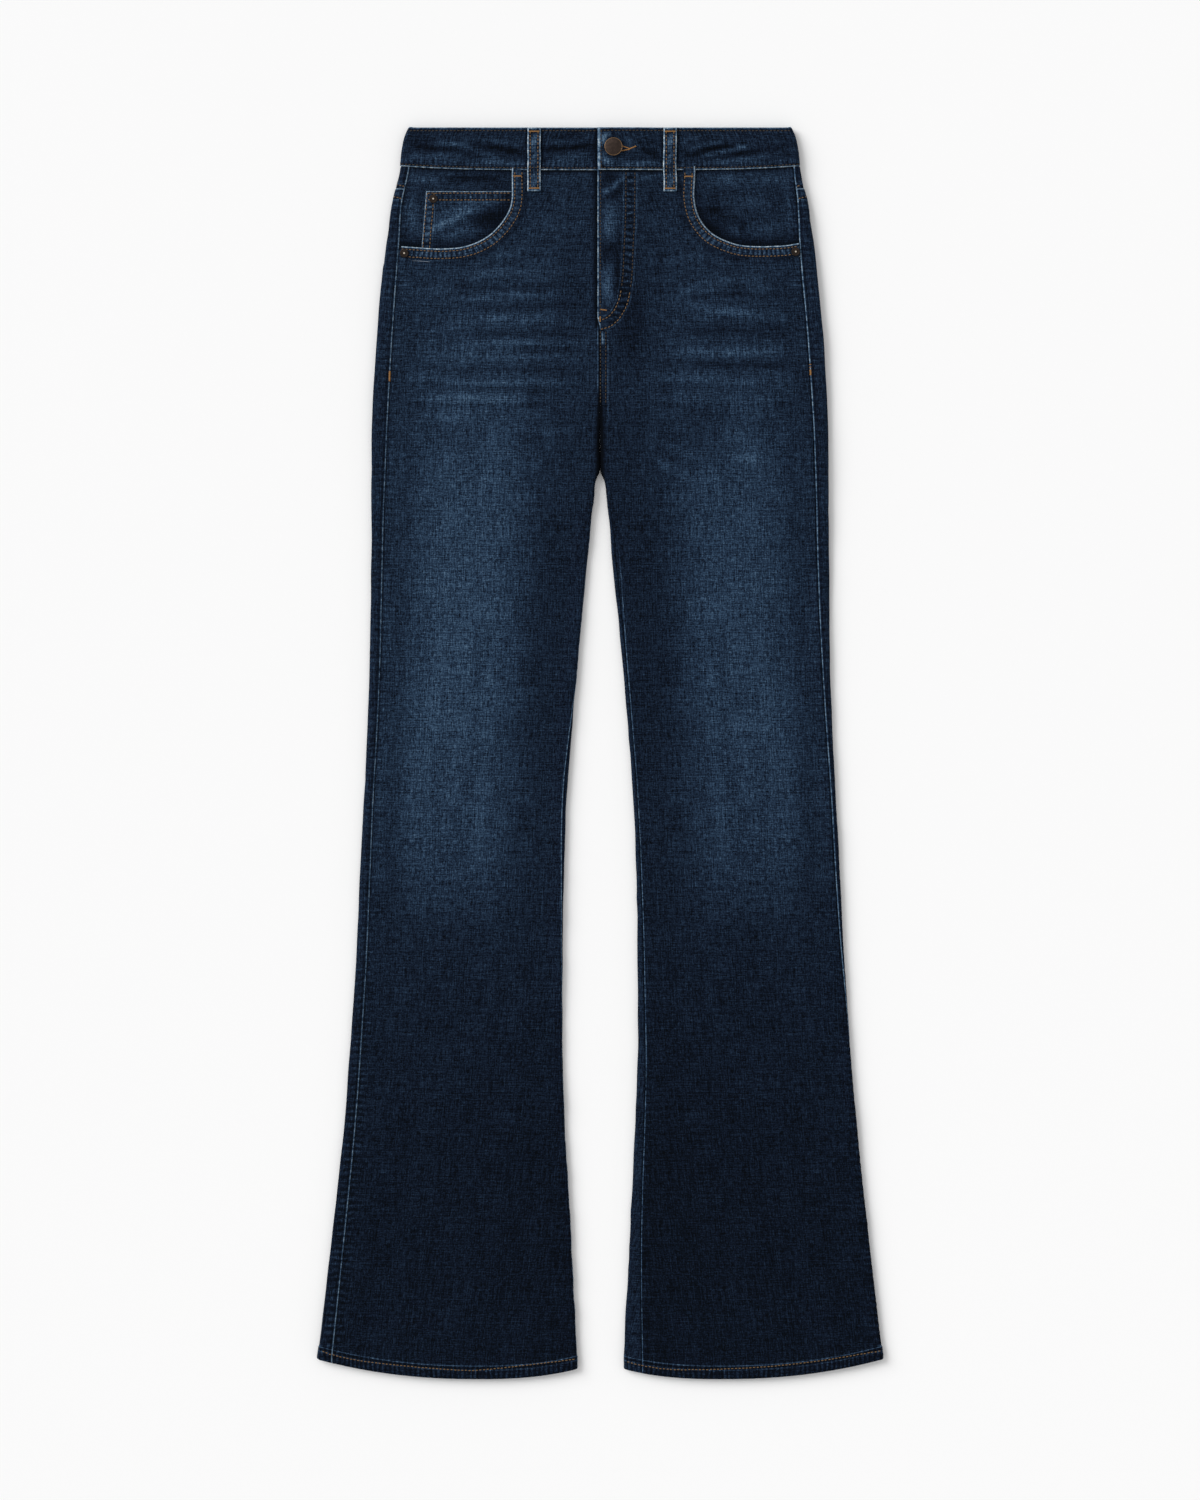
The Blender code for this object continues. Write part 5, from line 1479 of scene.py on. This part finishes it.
def make_front_loop(name, leg, across, materials):
    """A belt loop over the waistband, tacked at its two ends, with room for a belt between them."""
    drops, ring, squash, from_edge = loop_strip(LOOP_SLACK[0].drop, LOOP_SLACK[-1].drop, LOOP_WALL)
    sides = (across - LOOP_WIDTH / 2, across, across + LOOP_WIDTH / 2)
    cloth = []
    for drop in drops[:, 0]:
        near = (drop - 0.0015, drop, drop + 0.0015)
        cloth.append(max(surface_height(leg, side, max(at, 0.001)) for side in sides for at in near))
    padded = np.pad(np.array(cloth), 3, mode="edge")
    cloth = np.maximum(np.convolve(padded, np.ones(7) / 7, mode="valid"), np.array(cloth) - 0.0002)[:, None]
    height = cloth + GAP + Track(LOOP_SLACK, "room")(drops) + ring[:, 1] * squash
    height = height + 0.0001 * np.sin(drops * 2 * math.pi / 0.0058) * (ring[:, 1] > 0.0006)
    aside = ring[:, 0] + 0 * height
    x = leg.sign * across + aside + 0.00025 * ripples(301 + leg.sign, drops, 0 * drops, 0.03)
    tone = LOOP_TONE * (0.55 + 0.45 * hill(aside, 0.003)) + 12 * ripples(311, aside, drops, 0.012)
    light = np.abs(from_edge - 0.4) * 0.75
    marks = marks_of(aside, drops, tone, light, side=0.25, row=aside / MM, half=HALF_LOOP)
    finish_loop(name, drops, x, height, marks, materials)


def make_back_loop(name, middle, materials):
    """A belt loop under the waistband, pressed flat by the garment's weight."""
    end = BAND_FRONT_DROP + LOOP_LENGTH
    drops, ring, squash, from_edge = loop_strip(BAND_FRONT_DROP, end, BACK_LOOP_WALL)
    height = np.clip(BACK_LOOP_WALL - ring[:, 1] * squash, 0.00005, BACK_LOOP_WALL)
    x = middle + ring[:, 0] + 0 * height
    tone, light = 0.8 * LOOP_TONE + 0 * x, np.abs(from_edge - 0.3)
    marks = marks_of(x, drops, tone, light, side=0.25, row=ring[:, 0] / MM, half=HALF_LOOP)
    finish_loop(name, drops, x, height, marks, materials)


# ---------------------------------------------------------------- sewing
class Ground:
    """The cloth that the thread is sewn on: it gives the point above or below a place."""

    def __init__(self, pieces):
        points, faces = [], []
        for piece in pieces:
            start = len(points)
            points.extend(vertex.co.copy() for vertex in piece.data.vertices)
            faces.extend([start + corner for corner in face.vertices] for face in piece.data.polygons)
        self.tree = BVHTree.FromPolygons(points, faces)

    def under(self, x, y, side):
        """The outermost point at this place, from above (1) or from below (-1)."""
        return self.tree.ray_cast(Vector((x, y, side * RAY_START)), Vector((0, 0, -side)), 2 * RAY_START)[0]


def stitch_shape(sides=6, rings=5):
    """A stitch one unit long and thick, as points and faces: a fat thread that dives in at its ends."""
    points, faces = [], []
    for ring in range(rings):
        share = ring / (rings - 1)
        plump = 0.5 * (0.35 + 0.65 * math.sin(math.pi * share) ** 0.5)
        dive = -0.45 * abs(2 * share - 1) ** 3
        for side in range(sides):
            angle = 2 * math.pi * side / sides
            points.append((share - 0.5, plump * math.cos(angle), dive + plump * math.sin(angle)))
    for ring in range(rings - 1):
        for side in range(sides):
            a, b = ring * sides + side, ring * sides + (side + 1) % sides
            faces.append((a, b, b + sides, a + sides))
    faces.append(tuple(range(sides))[::-1])
    faces.append(tuple(range((rings - 1) * sides, rings * sides)))
    return np.array(points), faces


class Thread:
    """Stitches of one colour, gathered into one mesh."""

    def __init__(self, ground, sizes, seed):
        self.ground = ground
        self.pitch, self.thick = sizes.stitch_pitch, sizes.thread_thickness
        self.shape, self.faces = stitch_shape()
        self.points, self.cells, self.marks = [], [], []
        self.draw = np.random.default_rng(seed)

    def stitch(self, start, end, thick, side):
        """One stitch from start to end, both (x, y), laid on the cloth."""
        first = self.ground.under(*start, side)
        last = self.ground.under(*end, side)
        if first is None or last is None:
            return
        run = last - first
        length = run.length
        if length < 1e-5 or length > 3 * math.dist(start, end):
            return
        run.normalize()
        beside = Vector((0, 0, side)).cross(run).normalized()
        up = run.cross(beside)
        middle = (first + last) / 2 + up * thick * 0.15
        axes = Matrix((run * length, beside * thick, up * thick)).transposed()
        base = len(self.points) * len(self.shape)
        placed = self.shape @ np.array(axes).T + np.array(middle)
        placed[:, 2] = np.maximum(placed[:, 2], FLOOR_CLEARANCE)
        self.points.append(placed)
        self.cells.extend([tuple(base + corner for corner in face) for face in self.faces])
        local = self.shape * (length, thick, thick)
        local[:, 2] += self.draw.uniform(0, 1)
        self.marks.append(local)

    def row(self, line, side=1, pitch=None):
        """Running stitches along a line of (x, y) points."""
        line = np.asarray(line, float)
        steps = np.linalg.norm(np.diff(line, axis=0), axis=1)
        travel = np.concatenate(((0.0,), np.cumsum(steps)))
        count = max(int(travel[-1] / (pitch or self.pitch)), 1)
        pitch = travel[-1] / count
        wander = self.draw.normal(0, STITCH_WANDER, count)
        for step in range(count):
            jitter = self.draw.uniform(-STITCH_JITTER, STITCH_JITTER)
            places = [(step + share + jitter) * pitch for share in STITCH_SPAN]
            ends = [np.array([np.interp(at, travel, line[:, axis]) for axis in (0, 1)]) for at in places]
            way = ends[1] - ends[0]
            way = np.array((-way[1], way[0])) / max(np.linalg.norm(way), TINY) * wander[step]
            self.stitch(ends[0] + way, ends[1] + way, self.thick, side)

    def tack(self, start, end, width, side=1):
        """A bar tack: threads laid close across the way from start to end."""
        start, end = np.array(start, float), np.array(end, float)
        way = end - start
        length = float(np.linalg.norm(way))
        way /= length
        across = np.array((-way[1], way[0])) * width / 2
        count = max(int(length / (self.thick * 0.72)), 2)
        for step in range(count):
            middle = start + way * length * (step + 0.5) / count
            reach = across * self.draw.uniform(0.88, 1.08)
            lean = way * self.thick * 0.35 * (1 if step % 2 else -1)
            self.stitch(middle - reach - lean, middle + reach + lean, self.thick * 0.95, side)

    def tacks(self, places):
        """The bar tacks of a table, each placed in pixels of the photograph."""
        for start, end, width in places:
            self.tack(*from_picture(start, end), width)

    def finish(self, name, thread):
        mesh = bpy.data.meshes.new(name)
        mesh.from_pydata(np.concatenate(self.points).tolist(), [], self.cells)
        set_marks(mesh, {"cloth": np.concatenate(self.marks)})
        link(name, mesh, [thread])


def from_picture(*pixels):
    """Places on the garment, as (x, y), of pixels of the photograph."""
    return [((x - PIXEL_CENTRE) * PIXEL, TOP - (y - PIXEL_TOP) * PIXEL) for x, y in pixels]


def leg_line(leg, across, drops):
    """The same for points of one leg, from their acrosses and drops."""
    across, drops = np.broadcast_arrays(across, drops)
    return np.stack((leg.sign * across, TOP - drops), -1)


def sew_front(leg, brown, dark):
    """The topstitching that both sides of the front have: pocket mouth, yoke strip and waistband."""
    for inside in MOUTH_ROWS:
        line = mouth_lines(leg, [inside])[:, 0]
        across, drop = line.T
        shown = (across < leg.outer(drop) - leg.outseam(drop) - 0.001) & (drop > BAND_DEPTH + 0.001)
        brown.row(leg_line(leg, across[shown], drop[shown]))
    for shift in YOKE_ROWS:
        drop = YOKE_AT_FOLD + shift
        ends = leg.outer(drop) - leg.outseam(drop) + 0.0010, leg.outer(drop) - 0.0003
        brown.row(leg_line(leg, ends, (drop + 0.001, drop - 0.0014)), pitch=YOKE_PITCH)
    first = -FLY_EDGE + 0.002 if leg is LEFT else 0.0
    reach = np.linspace(first, BAND_FOOT_END, 60)
    dark.row(leg_line(leg, reach, band_line(reach) - BAND_FOOT_ROW))
    reach = np.linspace(first, BAND_TOP_END, 60)
    dark.row(leg_line(leg, reach, BAND_FRONT_DROP + BAND_TOP_ROW))


def sew_rows(brown, dark, gold):
    """The topstitching that shows on top of the garment."""
    for leg in LEGS:
        sew_front(leg, brown, dark)
    end = -FLY_EDGE + 0.0034
    dark.row(leg_line(LEFT, end, (BAND_TOP_ROW, BAND_DEPTH - BAND_FOOT_ROW)))
    fly = beside(smooth_line(FLY_MIDDLE, 6), (HALF_FLY * MM / PIXEL, -HALF_FLY * MM / PIXEL))
    for line in (fly[:, 0], fly[:, 1]):
        line = line[line[:, 1] > FLY_ROW_TOP]
        low = line[:, 1] > FLY_ROW_TURN
        dark.row(from_picture(*line[~low]))
        brown.row(from_picture(*line[low]))
    dark.row(from_picture(*FLY_EDGE_ROW))
    for aside in (-HALF_SEAT, HALF_SEAT):
        x = SEAT_MIDDLE + aside * MM / PIXEL
        dark.row(from_picture((x, SEAT_TOP), (x, SEAT_FOOT)))
    side_low = COIN_SIDE_TOP + (COIN_SIDE_FOOT - COIN_SIDE_TOP) * 0.93
    for inside in COIN_ROWS:
        brown.row(leg_line(RIGHT, (COIN_SIDE_TOP - 0.001, COIN_ROW_END), COIN_TOP + inside))
    for inside in COIN_SIDE_ROWS:
        ends = COIN_SIDE_TOP - inside, side_low - inside
        brown.row(leg_line(RIGHT, ends, (COIN_TOP + 0.001, COIN_SIDE_END)))
    for line in HEM_LINES:
        gold.row(smooth_line(from_picture(*line), 8))


def sew_underneath(brown, gold):
    """The topstitching of the seat, the back pockets, the back of the waistband and the hems."""
    for leg in LEGS:
        for inside in POCKET_ROWS:
            corner = POCKET_LOW.aside - inside, POCKET_LOW.drop - inside * 0.8
            half = np.array(((POCKET_WIDE.aside - inside, POCKET_WIDE.drop + 0.001), corner))
            line = np.vstack((half * (-1, 1), (0, POCKET_FOOT - inside * 1.05), half[::-1]))
            brown.row(leg_line(leg, POCKET_ACROSS + line[:, 0], line[:, 1]), side=-1)
        top = np.array((-1, 0, 1))
        drops = POCKET_TOP + POCKET_HEM_ROW - np.abs(top) * 0.002
        brown.row(leg_line(leg, POCKET_ACROSS + top * POCKET_HEM_REACH, drops), side=-1)
        share = np.linspace(0.03, 0.985, 40)
        across = leg.outer(0.08) * (1 - share)
        for shift in BACK_SEAM_ROWS:
            drops = YOKE_AT_FOLD + (YOKE_AT_CENTRE - YOKE_AT_FOLD) * share + shift
            brown.row(leg_line(leg, across, drops), side=-1)
        reach = np.linspace(0.0, 0.1860, 60)
        brown.row(leg_line(leg, reach, band_line(reach) - BAND_FOOT_ROW), side=-1)
        brown.row(leg_line(leg, reach[reach < 0.178], BAND_TOP_ROW), side=-1)
        across = np.linspace(leg.inner(LENGTH) + 0.002, leg.outer(LENGTH) - 0.002, 60)
        gold.row(leg_line(leg, across, LENGTH - hem_sag(leg, across) - HEM_ROW), side=-1)
    for aside in BACK_SEAM_ROWS:
        brown.row(leg_line(LEFT, aside, np.linspace(YOKE_AT_CENTRE + 0.004, BACK_SEAM_END, 30)), side=-1)


def sew_loops(brown, tacks):
    """Two rows along each belt loop and a bar tack at each end."""
    places = [(sign * across, 1, LOOP_SLACK[0].drop) for _, sign, across in FRONT_LOOPS]
    places += [(x, -1, BAND_FRONT_DROP) for _, x in BACK_LOOPS]
    for x, side, start in places:
        for at in (x - LOOP_WIDTH / 2 + LOOP_ROW, x + LOOP_WIDTH / 2 - LOOP_ROW):
            brown.row([(at, TOP - start - 0.003), (at, TOP - start - 0.0565)], side)
        for drop in (start + 0.0036, start + 0.0572):
            ends = (x - LOOP_WIDTH / 2 + 0.0012, TOP - drop), (x + LOOP_WIDTH / 2 - 0.0012, TOP - drop)
            tacks.tack(*ends, 0.0015, side)


# ---------------------------------------------------------------- metal
def make_button(bronze, rim):
    """A tack button: a matte dome inside a thin bright rim."""
    low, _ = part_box("waist_button")
    at = np.array((BUTTON_ACROSS, TOP - BUTTON_DROP, low[2]))
    stands_in(turned("waist_button_bronze", BUTTON_DOME, at, bronze, 72), "waist_button")
    section = np.linspace(0, 2 * math.pi, 12, endpoint=False)
    radius = BUTTON_RADIUS - RIM_HALF_WIDTH + RIM_HALF_WIDTH * np.cos(section)
    rings = circles(at + (0, 0, RIM_HEIGHT), radius, RIM_HALF_RISE * np.sin(section), 96).swapaxes(0, 1)
    rings = np.concatenate((rings, rings[:1]))
    ring = tube("waist_button_rim", rings, {"cloth": rings - at}, [rim], closed=False)


def make_rivet(name, sign, across, drop, metal):
    """A small domed rivet with a rolled edge."""
    low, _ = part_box(name)
    profile = [(share * RIVET_RADIUS, height) for share, height in RIVET_DOME]
    rivet = turned(f"{name}_copper", profile, np.array((sign * across, TOP - drop, low[2])), metal, 40)
    stands_in(rivet, name)


# ---------------------------------------------------------------- add-on
def size_property(name, what, size, unit="LENGTH"):
    return bpy.props.FloatProperty(name=name, description=what, default=size, unit=unit)


class JeansSizes(bpy.types.PropertyGroup):
    """Sizes that a user would change."""

    stitch_pitch: size_property("Stitch pitch", "From one stitch to the next", 0.0034)
    thread_thickness: size_property("Thread", "How thick the topstitching thread is", 0.0009)
    floor_size: size_property("Floor", "The side of the studio floor", 90.0)
    camera_height: size_property("Camera height", "How far the camera is above the floor", 3.5437)
    lens: size_property("Lens", "The camera's focal length in millimetres", 90.0, "CAMERA")


def colour_property(name, what, red, green, blue):
    return bpy.props.FloatVectorProperty(
        name=name,
        description=what,
        default=(red / 255, green / 255, blue / 255),
        subtype="COLOR_GAMMA",
        size=3,
        min=0.0,
        max=1.0,
    )


class JeansColours(bpy.types.PropertyGroup):
    """Colours that a user would change."""

    edge_wear: bpy.props.FloatProperty(
        name="Edge wear", description="How much lighter the worn edges are", default=0.50, subtype="FACTOR"
    )
    reverse: colour_property("Reverse", "The pale inside of the denim", 158, 168, 178)
    brown_thread: colour_property("Topstitching", "Thread of most seams", 120, 96, 68)
    dark_thread: colour_property("Dark topstitching", "Thread of the waistband and the fly", 68, 58, 47)
    gold_thread: colour_property("Hem thread", "Thread of the hems", 116, 92, 62)
    tack_thread: colour_property("Bar tacks", "Thread of the bar tacks and the buttonhole", 158, 116, 68)
    bronze: colour_property("Button", "The button's dome", 74, 61, 55)
    rim: colour_property("Button rim", "The button's bright rim", 150, 120, 88)
    copper: colour_property("Rivets", "The rivets", 58, 48, 42)
    # The bright middles of the rivets are a painted highlight
    rivet_highlight: colour_property("Rivet centres", "The worn middle of the rivets", 206, 196, 182)
    floor: colour_property("Floor", "The studio floor", 251, 251, 251)


class JeansOperator:
    """What every step's operator shares."""

    bl_options = {"REGISTER", "UNDO"}


def need(name):
    """Stops a step whose earlier step, which makes this piece, has not run."""
    if name not in bpy.data.objects:
        raise RuntimeError(f"{name} has to be made first")


class JEANS_OT_fronts(JeansOperator, bpy.types.Operator):
    """Make the two front legs, with the turned edges of their pocket mouths"""

    bl_idname = "jeans.fronts"
    bl_label = "Front legs"

    def execute(self, context):
        materials = cloth_materials(context)
        for leg in LEGS:
            front, sizes = make_front(leg, materials)
            mouth = make_mouth(leg, materials)
            declare(front, sizes, [f"back_{leg.side}_leg_denim"], [mouth])
        return {"FINISHED"}


class JEANS_OT_backs(JeansOperator, bpy.types.Operator):
    """Make the back legs, the yokes and the back pockets"""

    bl_idname = "jeans.backs"
    bl_label = "Back legs, yokes and pockets"

    def execute(self, context):
        materials = cloth_materials(context)
        for leg in LEGS:
            make_back_piece(leg, f"back_{leg.side}_leg", YOKE_AT_FOLD + HALF_GAP, LENGTH, materials)
            make_back_piece(leg, f"yoke_{leg.side}", BAND_DEPTH + GAP, YOKE_AT_FOLD - HALF_GAP, materials)
            make_back_pocket(leg, materials)
        return {"FINISHED"}


class JEANS_OT_pockets(JeansOperator, bpy.types.Operator):
    """Make the facings in the pocket mouths and the coin pocket, and give the fly's underlap the reverse's
    finish
    """

    bl_idname = "jeans.pockets"
    bl_label = "Pocket facings"

    def execute(self, context):
        materials = cloth_materials(context)
        for leg in LEGS:
            facing, sizes = make_facing(leg, materials)
            declare(facing, sizes, [f"back_{leg.side}_leg_denim"])
        pocket, sizes = make_coin_pocket(materials)
        declare(pocket, sizes, ["pocket_facing_right_denim"])
        shield = bpy.data.objects["fly_shield"]
        shield.data.materials.clear()
        shield.data.materials.append(materials[1])
        return {"FINISHED"}


class JEANS_OT_waist(JeansOperator, bpy.types.Operator):
    """Make the waistband and its belt loops"""

    bl_idname = "jeans.waist"
    bl_label = "Waistband and belt loops"

    def execute(self, context):
        materials = cloth_materials(context)
        make_waistband(materials)
        for name, sign, across in FRONT_LOOPS:
            make_front_loop(name, LEFT if sign > 0 else RIGHT, across, materials)
        for name, middle in BACK_LOOPS:
            make_back_loop(name, middle, materials)
        return {"FINISHED"}


class JEANS_OT_sewing(JeansOperator, bpy.types.Operator):
    """Sew the topstitching, the bar tacks and the buttonhole on the cloth"""

    bl_idname = "jeans.sewing"
    bl_label = "Sewing"

    def execute(self, context):
        need("waistband_denim")
        sizes, colours = context.scene.jeans_sizes, context.scene.jeans_colours
        cloth = [piece for piece in bpy.data.objects if piece.name.endswith("_denim")]
        cloth += [bpy.data.objects[f"pocket_mouth_{leg.side}"] for leg in LEGS]
        ground = Ground(cloth)
        brown, dark, gold, tacks, hole = (Thread(ground, sizes, seed) for seed in (1, 5, 2, 3, 4))
        sew_rows(brown, dark, gold)
        sew_loops(brown, tacks)
        tacks.tacks(BAR_TACKS)
        sew_underneath(brown, gold)
        hole.tacks(BUTTONHOLE)
        for thread, name, colour in (
            (brown, "topstitching", "brown"),
            (dark, "dark_topstitching", "dark"),
            (gold, "hem_topstitching", "gold"),
            (hole, "buttonhole_thread", "tack"),
            (tacks, "bar_tacks", "tack"),
        ):
            spool = f"{colour} thread", getattr(colours, f"{colour}_thread")
            thread.finish(name, ready(spool[0], thread_material, *spool))
        return {"FINISHED"}


class JEANS_OT_metal(JeansOperator, bpy.types.Operator):
    """Make the waist button and the pocket rivets"""

    bl_idname = "jeans.metal"
    bl_label = "Button and rivets"

    def execute(self, context):
        need("waistband_denim")
        colours = context.scene.jeans_colours
        bronze = metal_material("dark bronze", colours.bronze, 0.5)
        make_button(bronze, metal_material("button rim", colours.rim, 0.35))
        copper = metal_material("dark copper", colours.copper, 0.55, colours.rivet_highlight)
        for rivet in RIVETS:
            make_rivet(*rivet, copper)
        return {"FINISHED"}


class JEANS_OT_stage(JeansOperator, bpy.types.Operator):
    """Set up the floor, the soft light and the camera straight above"""

    bl_idname = "jeans.stage"
    bl_label = "Floor, light and camera"

    def execute(self, context):
        scene, sizes, colours = context.scene, context.scene.jeans_sizes, context.scene.jeans_colours
        half = sizes.floor_size / 2
        corners = [(-half, -half, 0), (half, -half, 0), (half, half, 0), (-half, half, 0)]
        mesh = bpy.data.meshes.new("studio_floor")
        mesh.from_pydata(corners, [], [(0, 1, 2, 3)])
        mesh.materials.append(floor_material(colours.floor))
        floor = placed("studio_floor", mesh)
        floor.location.z = -FLOOR_DROP

        world = bpy.data.worlds.new("studio")
        world.use_nodes = True
        start = Wire(world.node_tree)
        up = start.add("ShaderNodeTexCoord", {}, {}, "Generated").part("Z")
        plug(world.node_tree.nodes["Background"], "Color", up.fall(0.3).mix(SKY, HORIZON))
        scene.world = world
        light = bpy.data.lights.new("window_light", "SUN")
        light.energy = LIGHT_STRENGTH
        light.angle = math.radians(LIGHT_SPREAD)
        placed("window_light", light).rotation_euler = Vector(LIGHT_WAY).to_track_quat("-Z", "Y").to_euler()

        lens = bpy.data.cameras.new("camera")
        lens.lens = sizes.lens
        lens.sensor_width = lens.sensor_height = FILM
        lens.sensor_fit = "VERTICAL"
        scene.camera = placed("camera", lens)
        scene.camera.location = (0.0, TOP - (PIXEL_MIDDLE - PIXEL_TOP) * PIXEL, sizes.camera_height)
        scene.view_settings.view_transform = "Standard"
        scene.view_settings.look = "None"
        return {"FINISHED"}


STEPS = (
    JEANS_OT_fronts,
    JEANS_OT_backs,
    JEANS_OT_pockets,
    JEANS_OT_waist,
    JEANS_OT_sewing,
    JEANS_OT_metal,
    JEANS_OT_stage,
)


class JEANS_PT_panel(bpy.types.Panel):
    """The sizes, the colours and the steps that make the jeans"""

    bl_idname = "JEANS_PT_panel"
    bl_label = "Slim fit jeans"
    bl_space_type = "VIEW_3D"
    bl_region_type = "UI"
    bl_category = "Jeans"

    def draw(self, context):
        for group in (context.scene.jeans_sizes, context.scene.jeans_colours):
            box = self.layout.box()
            for name in group.__annotations__:
                box.prop(group, name)
        for step in STEPS:
            self.layout.operator(step.bl_idname)


CLASSES = (JeansSizes, JeansColours, *STEPS, JEANS_PT_panel)


def register():
    for made in CLASSES:
        bpy.utils.register_class(made)
    bpy.types.Scene.jeans_sizes = bpy.props.PointerProperty(type=JeansSizes)
    bpy.types.Scene.jeans_colours = bpy.props.PointerProperty(type=JeansColours)


def unregister():
    del bpy.types.Scene.jeans_colours
    del bpy.types.Scene.jeans_sizes
    for made in reversed(CLASSES):
        bpy.utils.unregister_class(made)


def main():
    register()
    for step in STEPS:
        group, name = step.bl_idname.split(".")
        getattr(getattr(bpy.ops, group), name)()


if __name__ == "__main__":
    main()
